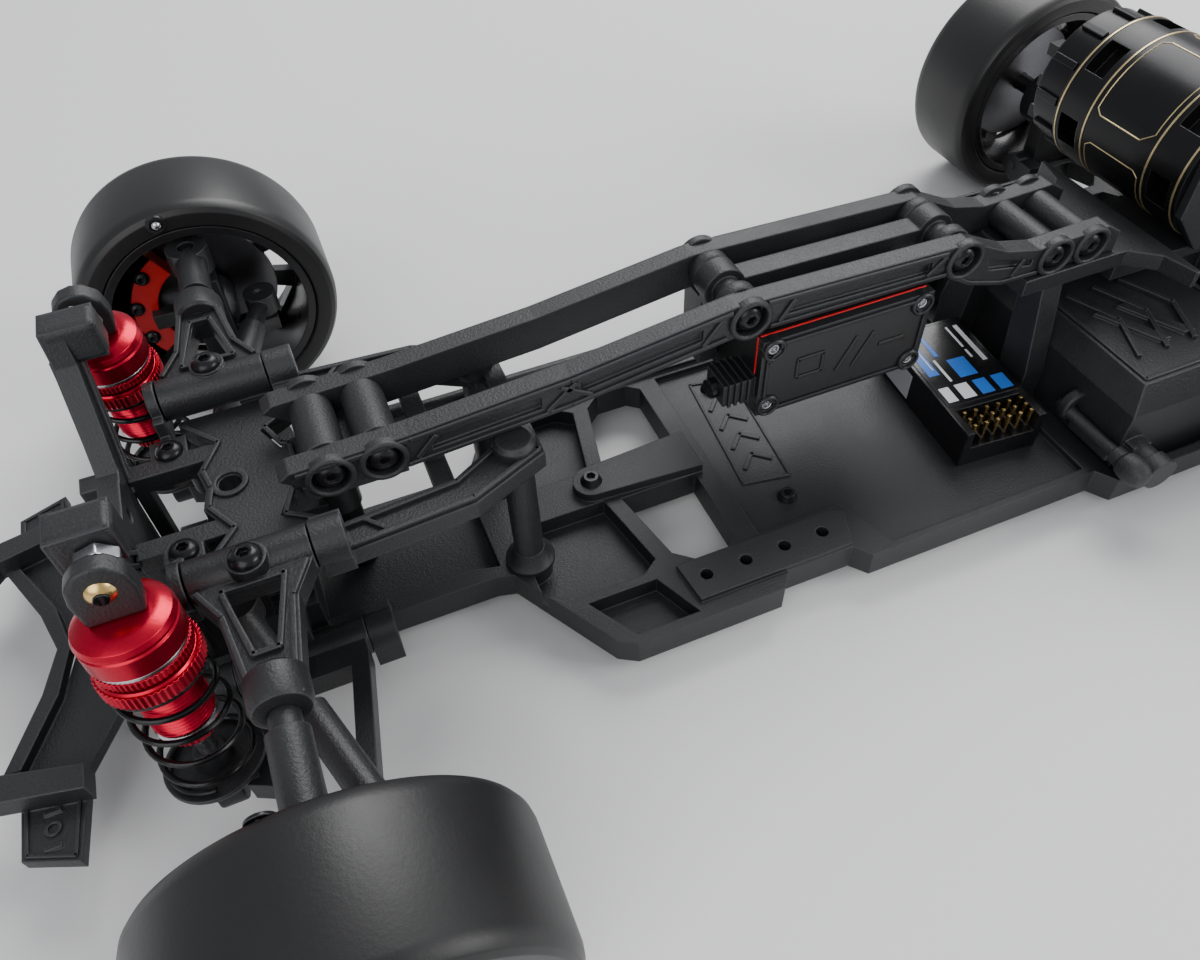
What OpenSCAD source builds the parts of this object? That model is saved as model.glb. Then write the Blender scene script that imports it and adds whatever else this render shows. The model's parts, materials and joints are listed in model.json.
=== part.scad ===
/* [Car] */
// Distance between the front and rear axles
wheelbase = 256; // [252:1:260]
// Distance from the car's middle plane to the middle of each tyre
half_track = 88; // [87:0.5:90]
// Height of the chassis floor above the ground
clearance = 4; // [3:0.5:5]
/* [Wheels] */
// Outer diameter of a tyre
tyre_d = 62; // [61:0.5:63]
// Width of a tyre
tyre_w = 26; // [25:0.5:26]
// Diameter of the tyre seat on the rim
seat_d = 50; // [49:0.5:51]
// Number of spokes in a rim
spokes = 10; // [5:1:12]
/* [Dampers] */
// Radius of a damper spring at the middle of its wire
spring_r = 7.6; // [7:0.1:8]
// Diameter of the spring wire
wire_d = 1.2; // [1:0.1:1.4]
/* [Hidden] */
$fn = 48;
axle_z = tyre_d / 2;
// The row's origin is under the middle of the car's length.
front_x = 106;
rear_x = front_x - wheelbase;
gear_module = 0.8;
pinion_teeth = 18;
spur_teeth = 48;
lay_teeth = 18;
spool_teeth = 44;
gap = 0.25;
run = 0.05;
pin_r = 1.5;

// Front suspension, in the front axle's frame: [y, z] of each pivot on the left.
front_lower_pin = [20, 13];
front_lower_ball = [76, 14];
front_upper_pin = [24.5, 50];
front_upper_ball = [76, 48];
front_damper_x = 18;
front_damper_top = [35, 68];
front_damper_low = [40.5, 12];
// The rack's ball and the steering arm's ball, on the left.
rack_ball = [7, 19, 33];
steer_ball = [-12, 77, 31];

// Rear suspension, in the rear axle's frame.
rear_lower_pin = [20, 12];
rear_hub_pin = [69, 14];
rear_upper_in = [26, 46];
rear_upper_out = [67, 46];
rear_damper_x = -20;
rear_damper_top = [33, 74];
rear_damper_low = [46, 12];

// Gear centres in the rear axle's frame, as [x, z].
spool_c = [0, axle_z];
motor_c = [28, 60];
stage_1 = gear_module * (pinion_teeth + spur_teeth) / 2;
stage_2 = gear_module * (lay_teeth + spool_teeth) / 2;
base = norm(motor_c - spool_c);
along = (stage_2 * stage_2 - stage_1 * stage_1 + base * base) / (2 * base);
across = sqrt(stage_2 * stage_2 - along * along);
base_u = (motor_c - spool_c) / base;
lay_c = spool_c + along * base_u + across * [-base_u[1], base_u[0]];

// Upper rails, as [x, z] from the front axle.
rail_in = 7.3;
rail_out = 11.6;
rail_side = [
    [-8, 54], [-10, 55.4], [-32, 56], [-64, 58.4], [-99, 63], [-154, 61.4],
    [-165, 56], [-174, 53.8], [-193, 54.4], [-197, 52], [-197, 47],
    [-166, 47.2], [-157, 50], [-150, 54.5], [-99, 55.2], [-64, 50.4], [-30, 48], [-15, 48.4]
];
rail_screws = [
    [-16.8, 51.9], [-26.8, 52], [-102.2, 59], [-153.1, 57.6], [-179.2, 50.6], [-189.1, 50.6]
];

// Servo box, from the front axle: lowest corner and size.
servo_at = [-144.6, -11.6, 34.1];
servo_size = [40.5, 26.2, 20.2];
horn_pivot = [-114.4, 44.5];
link_y = -19.8;
horn_len = 12;
// The steering crank turns on a post and has two arms.
crank_pivot = [-16.7, -6];
crank_arm = 14.7;
link_z = horn_pivot[1] - horn_len;

// ---------- helpers ----------
module at_front() translate([front_x, 0, 0]) children();
module at_rear() translate([rear_x, 0, 0]) children();

// Draws a left-hand part on the left (s = 1) or mirrored on the right (s = -1).
module sided(s) {
    if (s > 0) children();
    else mirror([0, 1, 0]) children();
}
module both() {
    children();
    mirror([0, 1, 0]) children();
}
// A box given by its low and high corners.
module box(lo, hi) translate(lo) cube(hi - lo);
// A round rod from point a to point b.
module rod(a, b, r) {
    d = b - a;
    translate(a)
        rotate([0, acos(d[2] / norm(d)), atan2(d[1], d[0])])
            cylinder(h = norm(d), r = r);
}
module along_x(x0, x1, y, z, r) translate([x0, y, z]) rotate([0, 90, 0]) cylinder(h = x1 - x0, r = r);
module along_y(x, y0, y1, z, r) translate([x, y0, z]) rotate([-90, 0, 0]) cylinder(h = y1 - y0, r = r);
module along_z(x, y, z0, z1, r) translate([x, y, z0]) cylinder(h = z1 - z0, r = r);
// A plate with its outline in plan, between two heights.
module plate(points, z0, z1) translate([0, 0, z0]) linear_extrude(z1 - z0) polygon(points);
// A plate with its outline seen from the side, between two y values.
module side_plate(points, y0, y1)
    translate([0, y1, 0]) rotate([90, 0, 0]) linear_extrude(y1 - y0) polygon(points);
// A plate with its outline seen from the front as [y, z], between two x values.
module front_plate(points, x0, x1)
    translate([x0, 0, 0]) rotate([90, 0, 90]) linear_extrude(x1 - x0) polygon(points);
// Hexagonal prism along y.
module hex_y(x, y0, y1, z, r) translate([x, y0, z]) rotate([-90, 0, 0]) cylinder(h = y1 - y0, r = r,
    $fn = 6);
module mirrored_plate(half, z0, z1)
    plate(concat(half, [for (i = [len(half) - 1:-1:0]) [half[i][0], -half[i][1]]]), z0, z1);

// ---------- chassis ----------
floor_z = clearance + 2.6;
rim_z = clearance + 7;
// Half outline of the tub from nose to tail, as [x, y].
tub = [
    [32, 0], [32, 13], [29, 15.6], [-42, 15.6], [-46, 16.6], [-60, 41], [-64, 43.4], [-98, 43.4],
    [-101, 39.6], [-117, 39.6], [-120, 43.4], [-180, 43.4], [-183, 48], [-229, 48],
    [-235, 40], [-239, 24], [-239.4, 15.6], [-283, 15.6], [-283, 0]
];
// Half outlines of the pockets sunk into the tub, and of the holes through it.
deck_pocket = [[-100, 0], [-100, 28], [-121, 28], [-126, 41.6], [-178, 41.6], [-178, 0]];
outer_pocket = [[-58, 30], [-64.5, 41.2], [-79, 41.2], [-74, 30]];
tray_pocket = [[-50, 5], [-50, 24], [-54, 28], [-72, 28], [-76, 25], [-72, 5]];
side_window = [[-76, 6], [-80, 25], [-84, 28.5], [-92, 28.5], [-95, 26], [-95, 6]];
side_holes_x = [-84, -93.5, -103, -112.5];
side_hole_y = 34;
side_hole_r = 1.4;

module tub_pocket(half, z) {
    both() plate(half, z, rim_z + 1);
}
module lower_pin_block(x0, x1, y, z) {
    difference() {
        union() {
            box([x0, 13, floor_z], [x1, y + 4, z]);
            along_x(x0, x1, y, z, 4);
        }
        along_x(x0 - 1, x1 + 1, y, z, pin_r);
    }
}
module chassis() {
    color([0.10, 0.105, 0.11])
        at_front() {
            difference() {
                mirrored_plate(tub, clearance, rim_z);
                tub_pocket(deck_pocket, rim_z - 1.6);
                tub_pocket(outer_pocket, floor_z);
                tub_pocket(tray_pocket, floor_z);
                both() plate(side_window, clearance - 1, rim_z + 1);
                both() plate([[24, 0], [24, 11.6], [-38, 11.6], [-44, 13], [-44, 0]], floor_z, rim_z + 1);
                both() plate([[-183.8, 0], [-183.8, 45.8], [-229, 45.8], [-229, 0]], floor_z, rim_z + 1);
                both() plate([[-237.4, 0], [-237.4, 12.6], [-281.6, 12.6],
                    [-281.6, 0]], floor_z, rim_z + 1);
                both() for (x = side_holes_x)
                    along_z(x, side_hole_y, clearance - 1, rim_z + 2, side_hole_r);
            }
            // Plate on the side rail that carries the row of accessory holes.
            difference() {
                both() plate([[-79, 29.4], [-80, 39.4], [-117, 39.4], [-120, 31],
                    [-117, 29.4]], rim_z, rim_z + 1.2);
                both() for (x = side_holes_x)
                    along_z(x, side_hole_y, clearance - 1, rim_z + 2, side_hole_r);
            }
            // Middle tongue between the two windows, with a screw hole in its tip.
            difference() {
                union() {
                    plate([[-71, -4.4], [-71, 4.4], [-97, 6], [-97, -6]], rim_z, rim_z + 2.4);
                    along_z(-71, 0, rim_z, rim_z + 2.4, 4.4);
                }
                along_z(-71, 0, rim_z - 1, rim_z + 3, 1.4);
            }
            // Feet of the brace's posts.
            both() along_z(-51, 13.5, floor_z - 0.1, rim_z, 4.6);
            // Guide that the steering rack slides in.
            box([-6, -13, floor_z - 0.1], [3, 13, 19.7]);
            box([-6, -9.4, 19.6], [-3.8, 9.4, 22]);
            box([0.8, -9.4, 19.6], [3, 9.4, 22]);
            both() {
                lower_pin_block(13.4, 19, front_lower_pin[0], front_lower_pin[1]);
                lower_pin_block(-19, -13.4, front_lower_pin[0], front_lower_pin[1]);
            }
        }
    color([0.10, 0.105, 0.11])
        at_rear() both() {
            lower_pin_block(13.4, 16, rear_lower_pin[0], rear_lower_pin[1]);
            lower_pin_block(-25, -13.4, rear_lower_pin[0], rear_lower_pin[1]);
        }
}

// ---------- front bumper ----------
bumper_t = 2.6;
module front_bumper() {
    color([0.30, 0.31, 0.33])
        at_front() {
            // Base plate bolted over the nose, with the two flat body tabs.
            difference() {
                union() {
                    mirrored_plate([[21, 0], [21, 10], [32, 12], [42, 28], [44, 46], [54, 42], [54, 26],
                        [46, 10], [43, 0]], rim_z, rim_z + bumper_t);
                    // Upright rib along the front of the base plate.
                    mirrored_plate([[46, 0], [49, 10], [56, 25], [53, 25], [46, 11], [43.4, 0]],
                        rim_z + bumper_t, rim_z + bumper_t + 2.4);
                }
                both() along_z(26, 7, rim_z - 1, rim_z + 6, 1.6);
                both() along_z(38, 9, rim_z - 1, rim_z + 6, 2.2);
            }
            // Hoop in front of the base plate, rising from the tabs.
            both() plate([[41, 30], [41, 35], [60, 31], [72, 18], [75, 5], [75, -0.2], [70, -0.2],
                [67, 14], [57, 26]], rim_z + bumper_t, rim_z + bumper_t + 5);
            both() for (y = [34, 41]) box([47, y, rim_z + bumper_t], [50, y + 1, rim_z + bumper_t + 0.5]);
        }
}

// ---------- front brace ----------
brace_z0 = 42.5;
brace_z1 = 46.4;
module front_brace() {
    boss_r = 4.4;
    color([0.27, 0.28, 0.30])
        at_front()
            difference() {
                union() {
                    // Cross plate from one upper arm to the other.
                    mirrored_plate([[6, 0], [7, 5], [3, 12], [9, 20], [9, 21], [-16.4, 21], [-16.4, 18],
                        [-6, 12], [-9, 5.6], [-12, 5], [-12, 0]], brace_z0, brace_z1);
                    // Bosses that hold the upper arm pins.
                    both() for (x = [[10.8, 12.8], [-16.4, -10.8]]) {
                        along_x(x[0], x[1], front_upper_pin[0], front_upper_pin[1], boss_r);
                        box([x[0], 18, brace_z0], [x[1], front_upper_pin[0] + 2, front_upper_pin[1]]);
                    }
                    both() box([3, 8.2, brace_z0], [19.6, 12.2, brace_z1]);
                    both() box([10.8, 10, brace_z0], [12.8, 21, brace_z1]);
                    both() box([8, 10, brace_z0], [15, 17, brace_z1]);
                    // Side frames that run back to the posts.
                    both() plate([[-11, 16], [-11, 26], [-40, 24], [-56, 17], [-56, 11], [-50, 10],
                        [-38, 17], [-15, 19]], brace_z0, brace_z1);
                    box([-38, -19, brace_z0], [-34, 19, brace_z1]);
                    box([-56, -14, brace_z0], [-52, 14, brace_z1]);
                    // Block that the rails clamp, with two round columns joined by a web.
                    for (s = [rail_screws[0], rail_screws[1]]) along_y(s[0], -7.2, 7.2, s[1], 4.2);
                    box([-26.8, -7.2, brace_z0], [-16.8, 7.2, 50]);
                    box([-31, -7.2, brace_z0], [-11, 7.2, brace_z1]);
                    box([-53, -3, brace_z0], [-30, 3, brace_z1]);
                    // Posts down to the chassis.
                    both() along_z(-51, 13.5, rim_z + 0.01, brace_z0 + 1, 3.2);
                    both() box([16.8, 8.2, floor_z + 0.01], [19.6, 11.5, brace_z0 + 1]);
                }
                both() along_x(-20, 20, front_upper_pin[0], front_upper_pin[1], pin_r);
                for (s = [rail_screws[0], rail_screws[1]]) along_y(s[0], -9, 9, s[1], 1.25);
                along_z(1.5, 0, brace_z0 - 1, brace_z1 + 1, 2.2);
            }
}

// ---------- front shock tower ----------
module front_shock_tower() {
    stud = [front_damper_x, front_damper_top[0], front_damper_top[1]];
    color([0.25, 0.26, 0.28])
        at_front()
            difference() {
                union() {
                    front_plate([[-9, 15], [-9, 40], [-23.4, 58], [-26.2, 63], [-29, 67], [-29, 73],
                        [-22.5, 73], [-21, 66],
                        [-8, 50], [8, 50], [21, 66], [22.5, 73], [29, 73], [29, 67], [26.2, 63], [23.4, 58],
                        [9, 40], [9, 15]], 20, 24);
                    // Thick pads that take the damper studs.
                    both() box([14.4, 22.5, 65.4], [24, 29, 73]);
                    both() box([19.9, 5, 44], [27, 9, 50]);
                    box([20, -9, rim_z + bumper_t + 0.2], [24.2, 9, 20]);
                }
                both() along_y(front_damper_x, 20, 30, front_damper_top[1], 1.25);
                along_x(15, 30, 0, 46, 1.5);
            }
}

// ---------- upper rails ----------
module rail() {
    color([0.25, 0.26, 0.28])
        at_front()
            difference() {
                side_plate(rail_side, rail_in, rail_out);
                for (s = rail_screws) {
                    along_y(s[0], rail_in - 1, rail_out + 1, s[1], 1.6);
                    along_y(s[0], rail_out - 1.6, rail_out + 1, s[1], 3.6);
                }
                // Sunk panels between the ribs on the outside.
                side_plate([[-36, 50.6], [-36, 53.6], [-58, 55.2],
                    [-58, 52.2]], rail_out - 1, rail_out + 1);
                side_plate([[-66, 53.4], [-66, 56.2], [-92, 59.8], [-92, 57]], rail_out - 1, rail_out + 1);
                side_plate([[-110, 57.4], [-110, 60.4], [-145, 59.4],
                    [-145, 56.6]], rail_out - 1, rail_out + 1);
                side_plate([[-161, 52.4], [-160, 55.6], [-168, 53], [-173, 51.6],
                    [-173, 50]], rail_out - 1, rail_out + 1);
            }
}

// ---------- servo and its mount ----------
module servo_mount() {
    z = 59;
    color([0.22, 0.23, 0.25])
        at_front()
            difference() {
                union() {
                    for (s = [rail_screws[2], rail_screws[3]]) {
                        along_y(s[0], -7.2, 7.2, s[1], 3);
                        along_y(s[0], -4, 1, s[1], 4.6);
                    }
                    side_plate([[-102, 56], [-102, 60.6], [-153, 59.6], [-153, 56.8], [-146, 55.4],
                        [-108, 55.6]], -4, 1);
                    // Lugs that hold the servo's ears.
                    box([-103.6, -11, 37], [-99, -3, 54.6]);
                    box([-149.6, -11, 37], [-145.2, -3, 54.2]);
                    box([-103.6, -4, 54], [-99, 1, 58]);
                    box([-151, -4, 54], [-145.2, 1, 58]);
                }
                for (s = [rail_screws[2], rail_screws[3]]) along_y(s[0], -9, 9, s[1], 1.25);
            }
}
module servo() {
    top = servo_at + servo_size;
    at_front() {
        color([0.16, 0.16, 0.17]) difference() {
            union() {
                box(servo_at, [top[0], servo_at[1] + 7, top[2]]);
                box([servo_at[0], servo_at[1] + 19.2, servo_at[2]], top);
                box([servo_at[0], servo_at[1] + 7, servo_at[2]], [top[0], servo_at[1] + 19.2, top[2]]);
                // Output boss, and the lead's strain relief.
                along_y(horn_pivot[0], servo_at[1] - 1.6, servo_at[1] + 1, horn_pivot[1], 5.5);
                along_y(horn_pivot[0], servo_at[1] - 5.6, servo_at[1], horn_pivot[1], 2.9);
                box([top[0] - 1, top[1] - 9, 38.5], [top[0] + 7.4, top[1] - 1.5, 44]);
            }
            for (x = [servo_at[0] + 2.6, top[0] - 2.6])
                for (z = [servo_at[2] + 2.4, top[2] - 2.4])
                    along_y(x, top[1] - 2, top[1] + 1, z, 1.7);
        }
    }
}
module servo_horn() {
    color([0.12, 0.12, 0.13])
        at_front()
            difference() {
                union() {
                    along_y(horn_pivot[0], servo_at[1] - 6.2, servo_at[1] - 1.8, horn_pivot[1], 4.4);
                    box([horn_pivot[0] - 2.6, servo_at[1] - 3.4, link_z - 2],
                        [horn_pivot[0] + 2.6, servo_at[1] - 1.8, horn_pivot[1] - 3]);
                    along_y(horn_pivot[0], link_y - 2.4, servo_at[1] - 1.8, link_z, 1.4);
                }
                along_y(horn_pivot[0], servo_at[1] - 7, servo_at[1] - 1, horn_pivot[1], 2.9 + run);
            }
}
link_x1 = crank_pivot[0];
module servo_link() {
    y = link_y;
    color([0.13, 0.13, 0.14])
        at_front()
            difference() {
                union() {
                    along_x(horn_pivot[0] + 3, link_x1 - 4, y, link_z, 1.5);
                    along_x(horn_pivot[0] + 3, horn_pivot[0] + 16, y, link_z, 2.6);
                    along_x(link_x1 - 18, link_x1 - 4, y, link_z, 2.6);
                    along_y(horn_pivot[0], y - 2, y + 2, link_z, 3.4);
                    along_z(link_x1, y, link_z - 2.2, link_z + 2.2, 3.4);
                    box([link_x1 - 5, y - 1.6, link_z - 1.8], [link_x1 - 2.4, y + 1.6, link_z + 1.8]);
                    // Stud that stands over the crank's arm.
                    along_z(link_x1, y, crank_z + 3.3, link_z, 1.4);
                }
                along_y(horn_pivot[0], y - 3, y + 3, link_z, 1.4 + run);
            }
}

// ---------- steering ----------
crank_z = 26;
module steering_crank() {
    y = link_y;
    color([0.14, 0.14, 0.15])
        at_front()
            difference() {
                union() {
                    along_z(crank_pivot[0], crank_pivot[1], crank_z, crank_z + 8, 4);
                    // Arm to the servo link.
                    plate([[crank_pivot[0] - 2.4, crank_pivot[1]], [crank_pivot[0] + 2.4, crank_pivot[1]],
                        [crank_pivot[0] + 2.4, y - 2.4],
                            [crank_pivot[0] - 2.4, y - 2.4]], crank_z, crank_z + 3);
                    along_z(crank_pivot[0], y, crank_z, crank_z + 3, 3);
                    // Arm to the rack, with the pin that drops into its slot.
                    plate([[crank_pivot[0], crank_pivot[1] - 2.6], [crank_pivot[0], crank_pivot[1] + 2.6],
                        [crank_pivot[0] + crank_arm + 2, crank_pivot[1] + 2.2],
                        [crank_pivot[0] + crank_arm + 2, crank_pivot[1] - 2.2]], crank_z, crank_z + 3);
                    along_z(crank_pivot[0] + crank_arm, crank_pivot[1], 22.3, crank_z + 0.5, 2.1);
                }
                along_z(crank_pivot[0], crank_pivot[1], crank_z - 1, crank_z + 9, 2 + run);
            }
}
module steering_rack() {
    color([0.15, 0.15, 0.16])
        at_front() {
            difference() {
                union() {
                    box([-3.4, -22, 20], [0.4, 22, 24.4]);
                    both() box([-3.4, 16.4, 20], [rack_ball[0] + 3, 21.6, 24.4]);
                }
                // Slot that the crank's drop pin works in.
                box([-4.4, -8.6, 21], [1.4, -3.4, 25]);
            }
            both() along_z(rack_ball[0], rack_ball[1], 24, rack_ball[2], 1.5);
            both() translate(rack_ball) sphere(r = 2.9, $fn = 24);
        }
}

// ---------- battery and receiver ----------
module battery() {
    color([0.12, 0.14, 0.20])
        at_front() box([-226, -42, floor_z + 0.1], [-186, 42, floor_z + 19]);
}
module battery_cover() {
    z0 = floor_z + 0.05;
    z1 = floor_z + 23;
    color([0.20, 0.205, 0.21])
        at_front()
            difference() {
                union() {
                    hull() {
                        box([-228.6, -43.2, z0], [-184.4, 43.2, z0 + 19.5]);
                        box([-225, -39.6, z1], [-188, 39.6, z1 + 2.4]);
                    }
                    // Chevron ribs on the lid.
                    both() plate([[-194, 16], [-197, 16], [-204, 30], [-201, 30]], z1 + 2.3, z1 + 3.2);
                    both() plate([[-201, 16], [-204, 16], [-211, 30], [-208, 30]], z1 + 2.3, z1 + 3.2);
                }
                // Room for the battery, with a shallower space under the lid.
                box([-226.4, -42.4, z0 - 1], [-185.6, 42.4, floor_z + 19.3]);
                box([-223, -37.5, floor_z + 19], [-190, 37.5, z1 + 0.2]);
            }
    // Latch on each side: a flat tab with a ring, and a turned knob.
    color([0.24, 0.245, 0.25])
        at_front() both() {
            box([-190.4, 42.6, z0 + 5], [-185.4, 46, z0 + 12]);
            along_y(-188, 43, 49.4, z0 + 9, 3.4);
            along_y(-188, 49.3, 53, z0 + 9, 4);
        }
}
receiver_at = [-165, 10, rim_z - 1.5];
module receiver() {
    l = 38;
    w = 21;
    h = 10.5;
    color([0.06, 0.06, 0.07])
        at_front()
            translate(receiver_at) rotate([0, 0, -4]) {
                difference() {
                    box([-w / 2, -l / 2, 0], [w / 2, l / 2, h]);
                    box([-w / 2 + 2, l / 2 - 8, h - 5], [w / 2 - 2, l / 2 + 1, h + 1]);
                }
                // Gilt connector pins, three rows of six.
                for (i = [0:5])
                    for (j = [0:2])
                        box([-7.8 + i * 3, l / 2 - 6.6 + j * 2.2, h - 5.2],
                            [-7.2 + i * 3, l / 2 - 6 + j * 2.2, h + 0.4]);
            }
}

// ---------- rear deck with damper tower ----------
deck_z0 = 42.6;
deck_z1 = 46.7;
module rear_deck() {
    color([0.17, 0.175, 0.185])
        difference() {
            union() {
                at_front() {
                    mirrored_plate([[-172, 0], [-172, 13], [-200, 13], [-206, 18], [-208, 26],
                        [-209, 26], [-209, 0]],
                        deck_z0, deck_z1);
                    for (s = [rail_screws[4], rail_screws[5]]) along_y(s[0], -7.2, 7.2, s[1], 3.4);
                    box([-189.1, -7.2, deck_z0], [-179.2, 7.2, 50]);
                    box([-193, -7.2, deck_z0], [-175, 7.2, 47.2]);
                    // Legs down to the chassis in front of the battery.
                    both() front_plate([[6, 44], [12.6, 44], [17, 20], [17, rim_z + 0.01],
                        [9, rim_z + 0.01], [8, 20]], -183.6, -178.1);
                    // Tongue under the motor to the gearbox.
                    box([-233.6, -12, 37.6], [-200, 12, 40.6]);
                    box([-209, -12, 37.6], [-200, 12, deck_z0 + 1]);
                }
            }
            at_front() for (s = [rail_screws[4], rail_screws[5]]) along_y(s[0], -9, 9, s[1], 1.25);
            at_front() for (y = [-6, 6]) along_z(-229, y, 36, 42, 1.6);
        }
}

// ---------- gears ----------
// Outline of a straight-sided gear with one tooth centred on angle a0.
function gear_points(n, a0) =
    let (r = gear_module * n / 2, half = 90 / n)
    [for (i = [0:n - 1])
        for (p = [[r - 1.05 * gear_module, -0.98], [r - 0.1 * gear_module, -0.44 * 0.98],
            [r + 0.72 * gear_module, -0.2], [r + 0.72 * gear_module, 0.2],
            [r - 0.1 * gear_module, 0.44 * 0.98], [r - 1.05 * gear_module, 0.98]])
            let (a = a0 + i * 360 / n + p[1] * (abs(p[1]) > 0.9 ? 0.62 : 1) * 2 * half)
            p[0] * [cos(a), sin(a)]];
function heading(a, b) = atan2(b[1] - a[1], b[0] - a[0]);
// A gear that turns about y at [x, z], with one tooth centred on angle a0 of the side view.
module gear(c, n, a0, y0, y1)
    translate([c[0], y1, c[1]]) rotate([90, 0, 0]) linear_extrude(y1 - y0) polygon(gear_points(n, a0));

spur_y = [15.4, 18.6];
lay_y = [-6, 2];
to_motor = heading(lay_c, motor_c);
to_spool = heading(lay_c, spool_c);
module pinion() {
    color([0.75, 0.70, 0.55])
        at_rear() {
            gear(motor_c, pinion_teeth, to_motor + 180 + 180 / pinion_teeth, spur_y[0], spur_y[1] + 1);
            along_y(motor_c[0], 14.2, spur_y[1] + 2.4, motor_c[1], 1.6);
            along_y(motor_c[0], spur_y[1] + 0.5, spur_y[1] + 5, motor_c[1], 4.2);
        }
}
module layshaft_gears() {
    color([0.85, 0.85, 0.82])
        at_rear() {
            gear(lay_c, spur_teeth, to_motor, spur_y[0], spur_y[1]);
            gear(lay_c, lay_teeth, to_spool, lay_y[0], lay_y[1]);
            along_y(lay_c[0], -10.8, spur_y[1] + 3, lay_c[1], 2.5);
            along_y(lay_c[0], spur_y[1] - 0.1, spur_y[1] + 2.4, lay_c[1], 6);
        }
}
module spool() {
    color([0.72, 0.72, 0.74])
        at_rear() {
            gear(spool_c, spool_teeth, to_spool + 180 + 180 / spool_teeth, lay_y[0] + 0.6, lay_y[1] - 0.6);
            along_y(0, -14.5, 14.5, axle_z, 4);
            // Drive cups at both ends.
            both() difference() {
                along_y(0, 14.3, 21.6, axle_z, 4.6);
                along_y(0, 15, 22, axle_z, 3.1);
            }
        }
}
case_in = [-9.6, 6];
module gearbox_case() {
    wall = 2.6;
    shaft_gap = run;
    // Outline round both gears, as [x, z] from the rear axle.
    outline = [[-19.5, 9], [-23, 22], [-23, 44], [-13, 66.6], [10, 66.6], [11.8, 56], [8.6, 51.8],
        [15, 41], [21.6, 36],
        [21.6, 22], [17, 9]];
    inner = [[-17.6, 12], [-20.4, 24], [-20.4, 43], [-11, 64.4], [7.6, 64.4], [9.4, 56], [6.2, 52],
        [13, 39.6], [19.2, 34.6],
        [19.2, 23], [15, 12]];
    color([0.15, 0.155, 0.165])
        at_rear()
            difference() {
                union() {
                    side_plate(outline, case_in[0] - wall, case_in[1] + wall);
                    // Motor plate and its stand.
                    side_plate([[-8, 44], [-8, 66.6], [12, 76], [34, 78], [44, 68], [44, 52],
                        [34, 40.8], [14, 40.8]], 12, 14);
                    side_plate([[-18, 18], [-23, 24], [-23, 44], [-8, 66.6], [6, 66.6], [14, 44],
                        [21.6, 36], [17, 18]],
                        case_in[1] + wall - 0.1, 14);
                    box([-24.5, case_in[0] - wall, floor_z + 0.01], [-20, case_in[1] + wall, 42]);
                    box([-19, case_in[0] - wall, floor_z + 0.01], [17, case_in[1] + wall, 9.4]);
                    box([19.6, -12, 30], [29, 8.4, 37.5]);
                    // Damper tower behind the axle, with an arm each side for an upper link.
                    front_plate([[-9, 34], [-29, 38.4], [-29, 42], [-15, 46], [-20, 60], [-26, 72],
                        [-28, 74], [-28, 78],
                        [-21, 78], [-16, 72], [16, 72], [21, 78], [28, 78], [28, 74], [26, 72],
                            [20, 60], [15, 46],
                        [29, 42], [29, 38.4], [9, 34]], -28.4, -24.4);
                    both() box([-26, 21, 71], [-16.4, 28, 78]);
                    both() box([-26, 23, 38.4], [-5.5, 29, 41.2]);
                }
                both() along_y(rear_damper_x, 20, 30, rear_damper_top[1], 1.25);
                both() along_z(-9, rear_upper_in[0], 37, 42, 1.4);
                side_plate(inner, case_in[0], case_in[1]);
                along_y(0, case_in[0], case_in[1], axle_z, 18.7);
                along_y(lay_c[0], case_in[0], case_in[1], lay_c[1], 8.4);
                along_y(motor_c[0], case_in[0] - 4, 11.99, motor_c[1], 18.3);
                for (y = [-6, 6]) along_z(27, y, 32, 38, 1.5);
                along_y(0, -20, 20, axle_z, 4 + shaft_gap);
                along_y(lay_c[0], -11.2, 20, lay_c[1], 2.5 + shaft_gap);
                along_y(motor_c[0], 11, 15, motor_c[1], 5.6);
                // Clearance behind the spur gear, down to the bearing wall.
                along_y(lay_c[0], 14, 20, lay_c[1], 21);
                // Slots for the motor screws.
                for (a = [50, 230]) along_y(motor_c[0] + 12.5 * cos(a),
                    11, 15, motor_c[1] + 12.5 * sin(a), 1.6);
            }
}

// ---------- motor ----------
module motor() {
    r = 18;
    at_rear() {
        color([0.10, 0.10, 0.11]) difference() {
            along_y(motor_c[0], -29, 11.95, motor_c[1], r);
            // Vent slots round the can.
            for (i = [0:5]) for (y = [-27, 3])
                rotate_about_motor(i * 60 + 15) box([13.6, y, -4], [r + 1, y + 6, 4]);
            for (a = [50, 230]) along_y(motor_c[0] + 12.5 * cos(a), 6, 12, motor_c[1] + 12.5 * sin(a), 1.3);
        }
        color([0.30, 0.27, 0.18]) {
            along_y(motor_c[0], -38, -29, motor_c[1], 16.6);
            along_y(motor_c[0], -40, -38, motor_c[1], 7);
            for (z = [-8, 0, 8]) box([motor_c[0] + 9, -42, motor_c[1] + z - 1.5],
                [motor_c[0] + 13, -37, motor_c[1] + z + 1.5]);
        }
        color([0.8, 0.8, 0.8]) along_y(motor_c[0], 11.9, 13.9, motor_c[1], 5.2);
    }
}
module rotate_about_motor(a)
    translate([motor_c[0], 0, motor_c[1]]) rotate([0, a, 0]) children();

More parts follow.
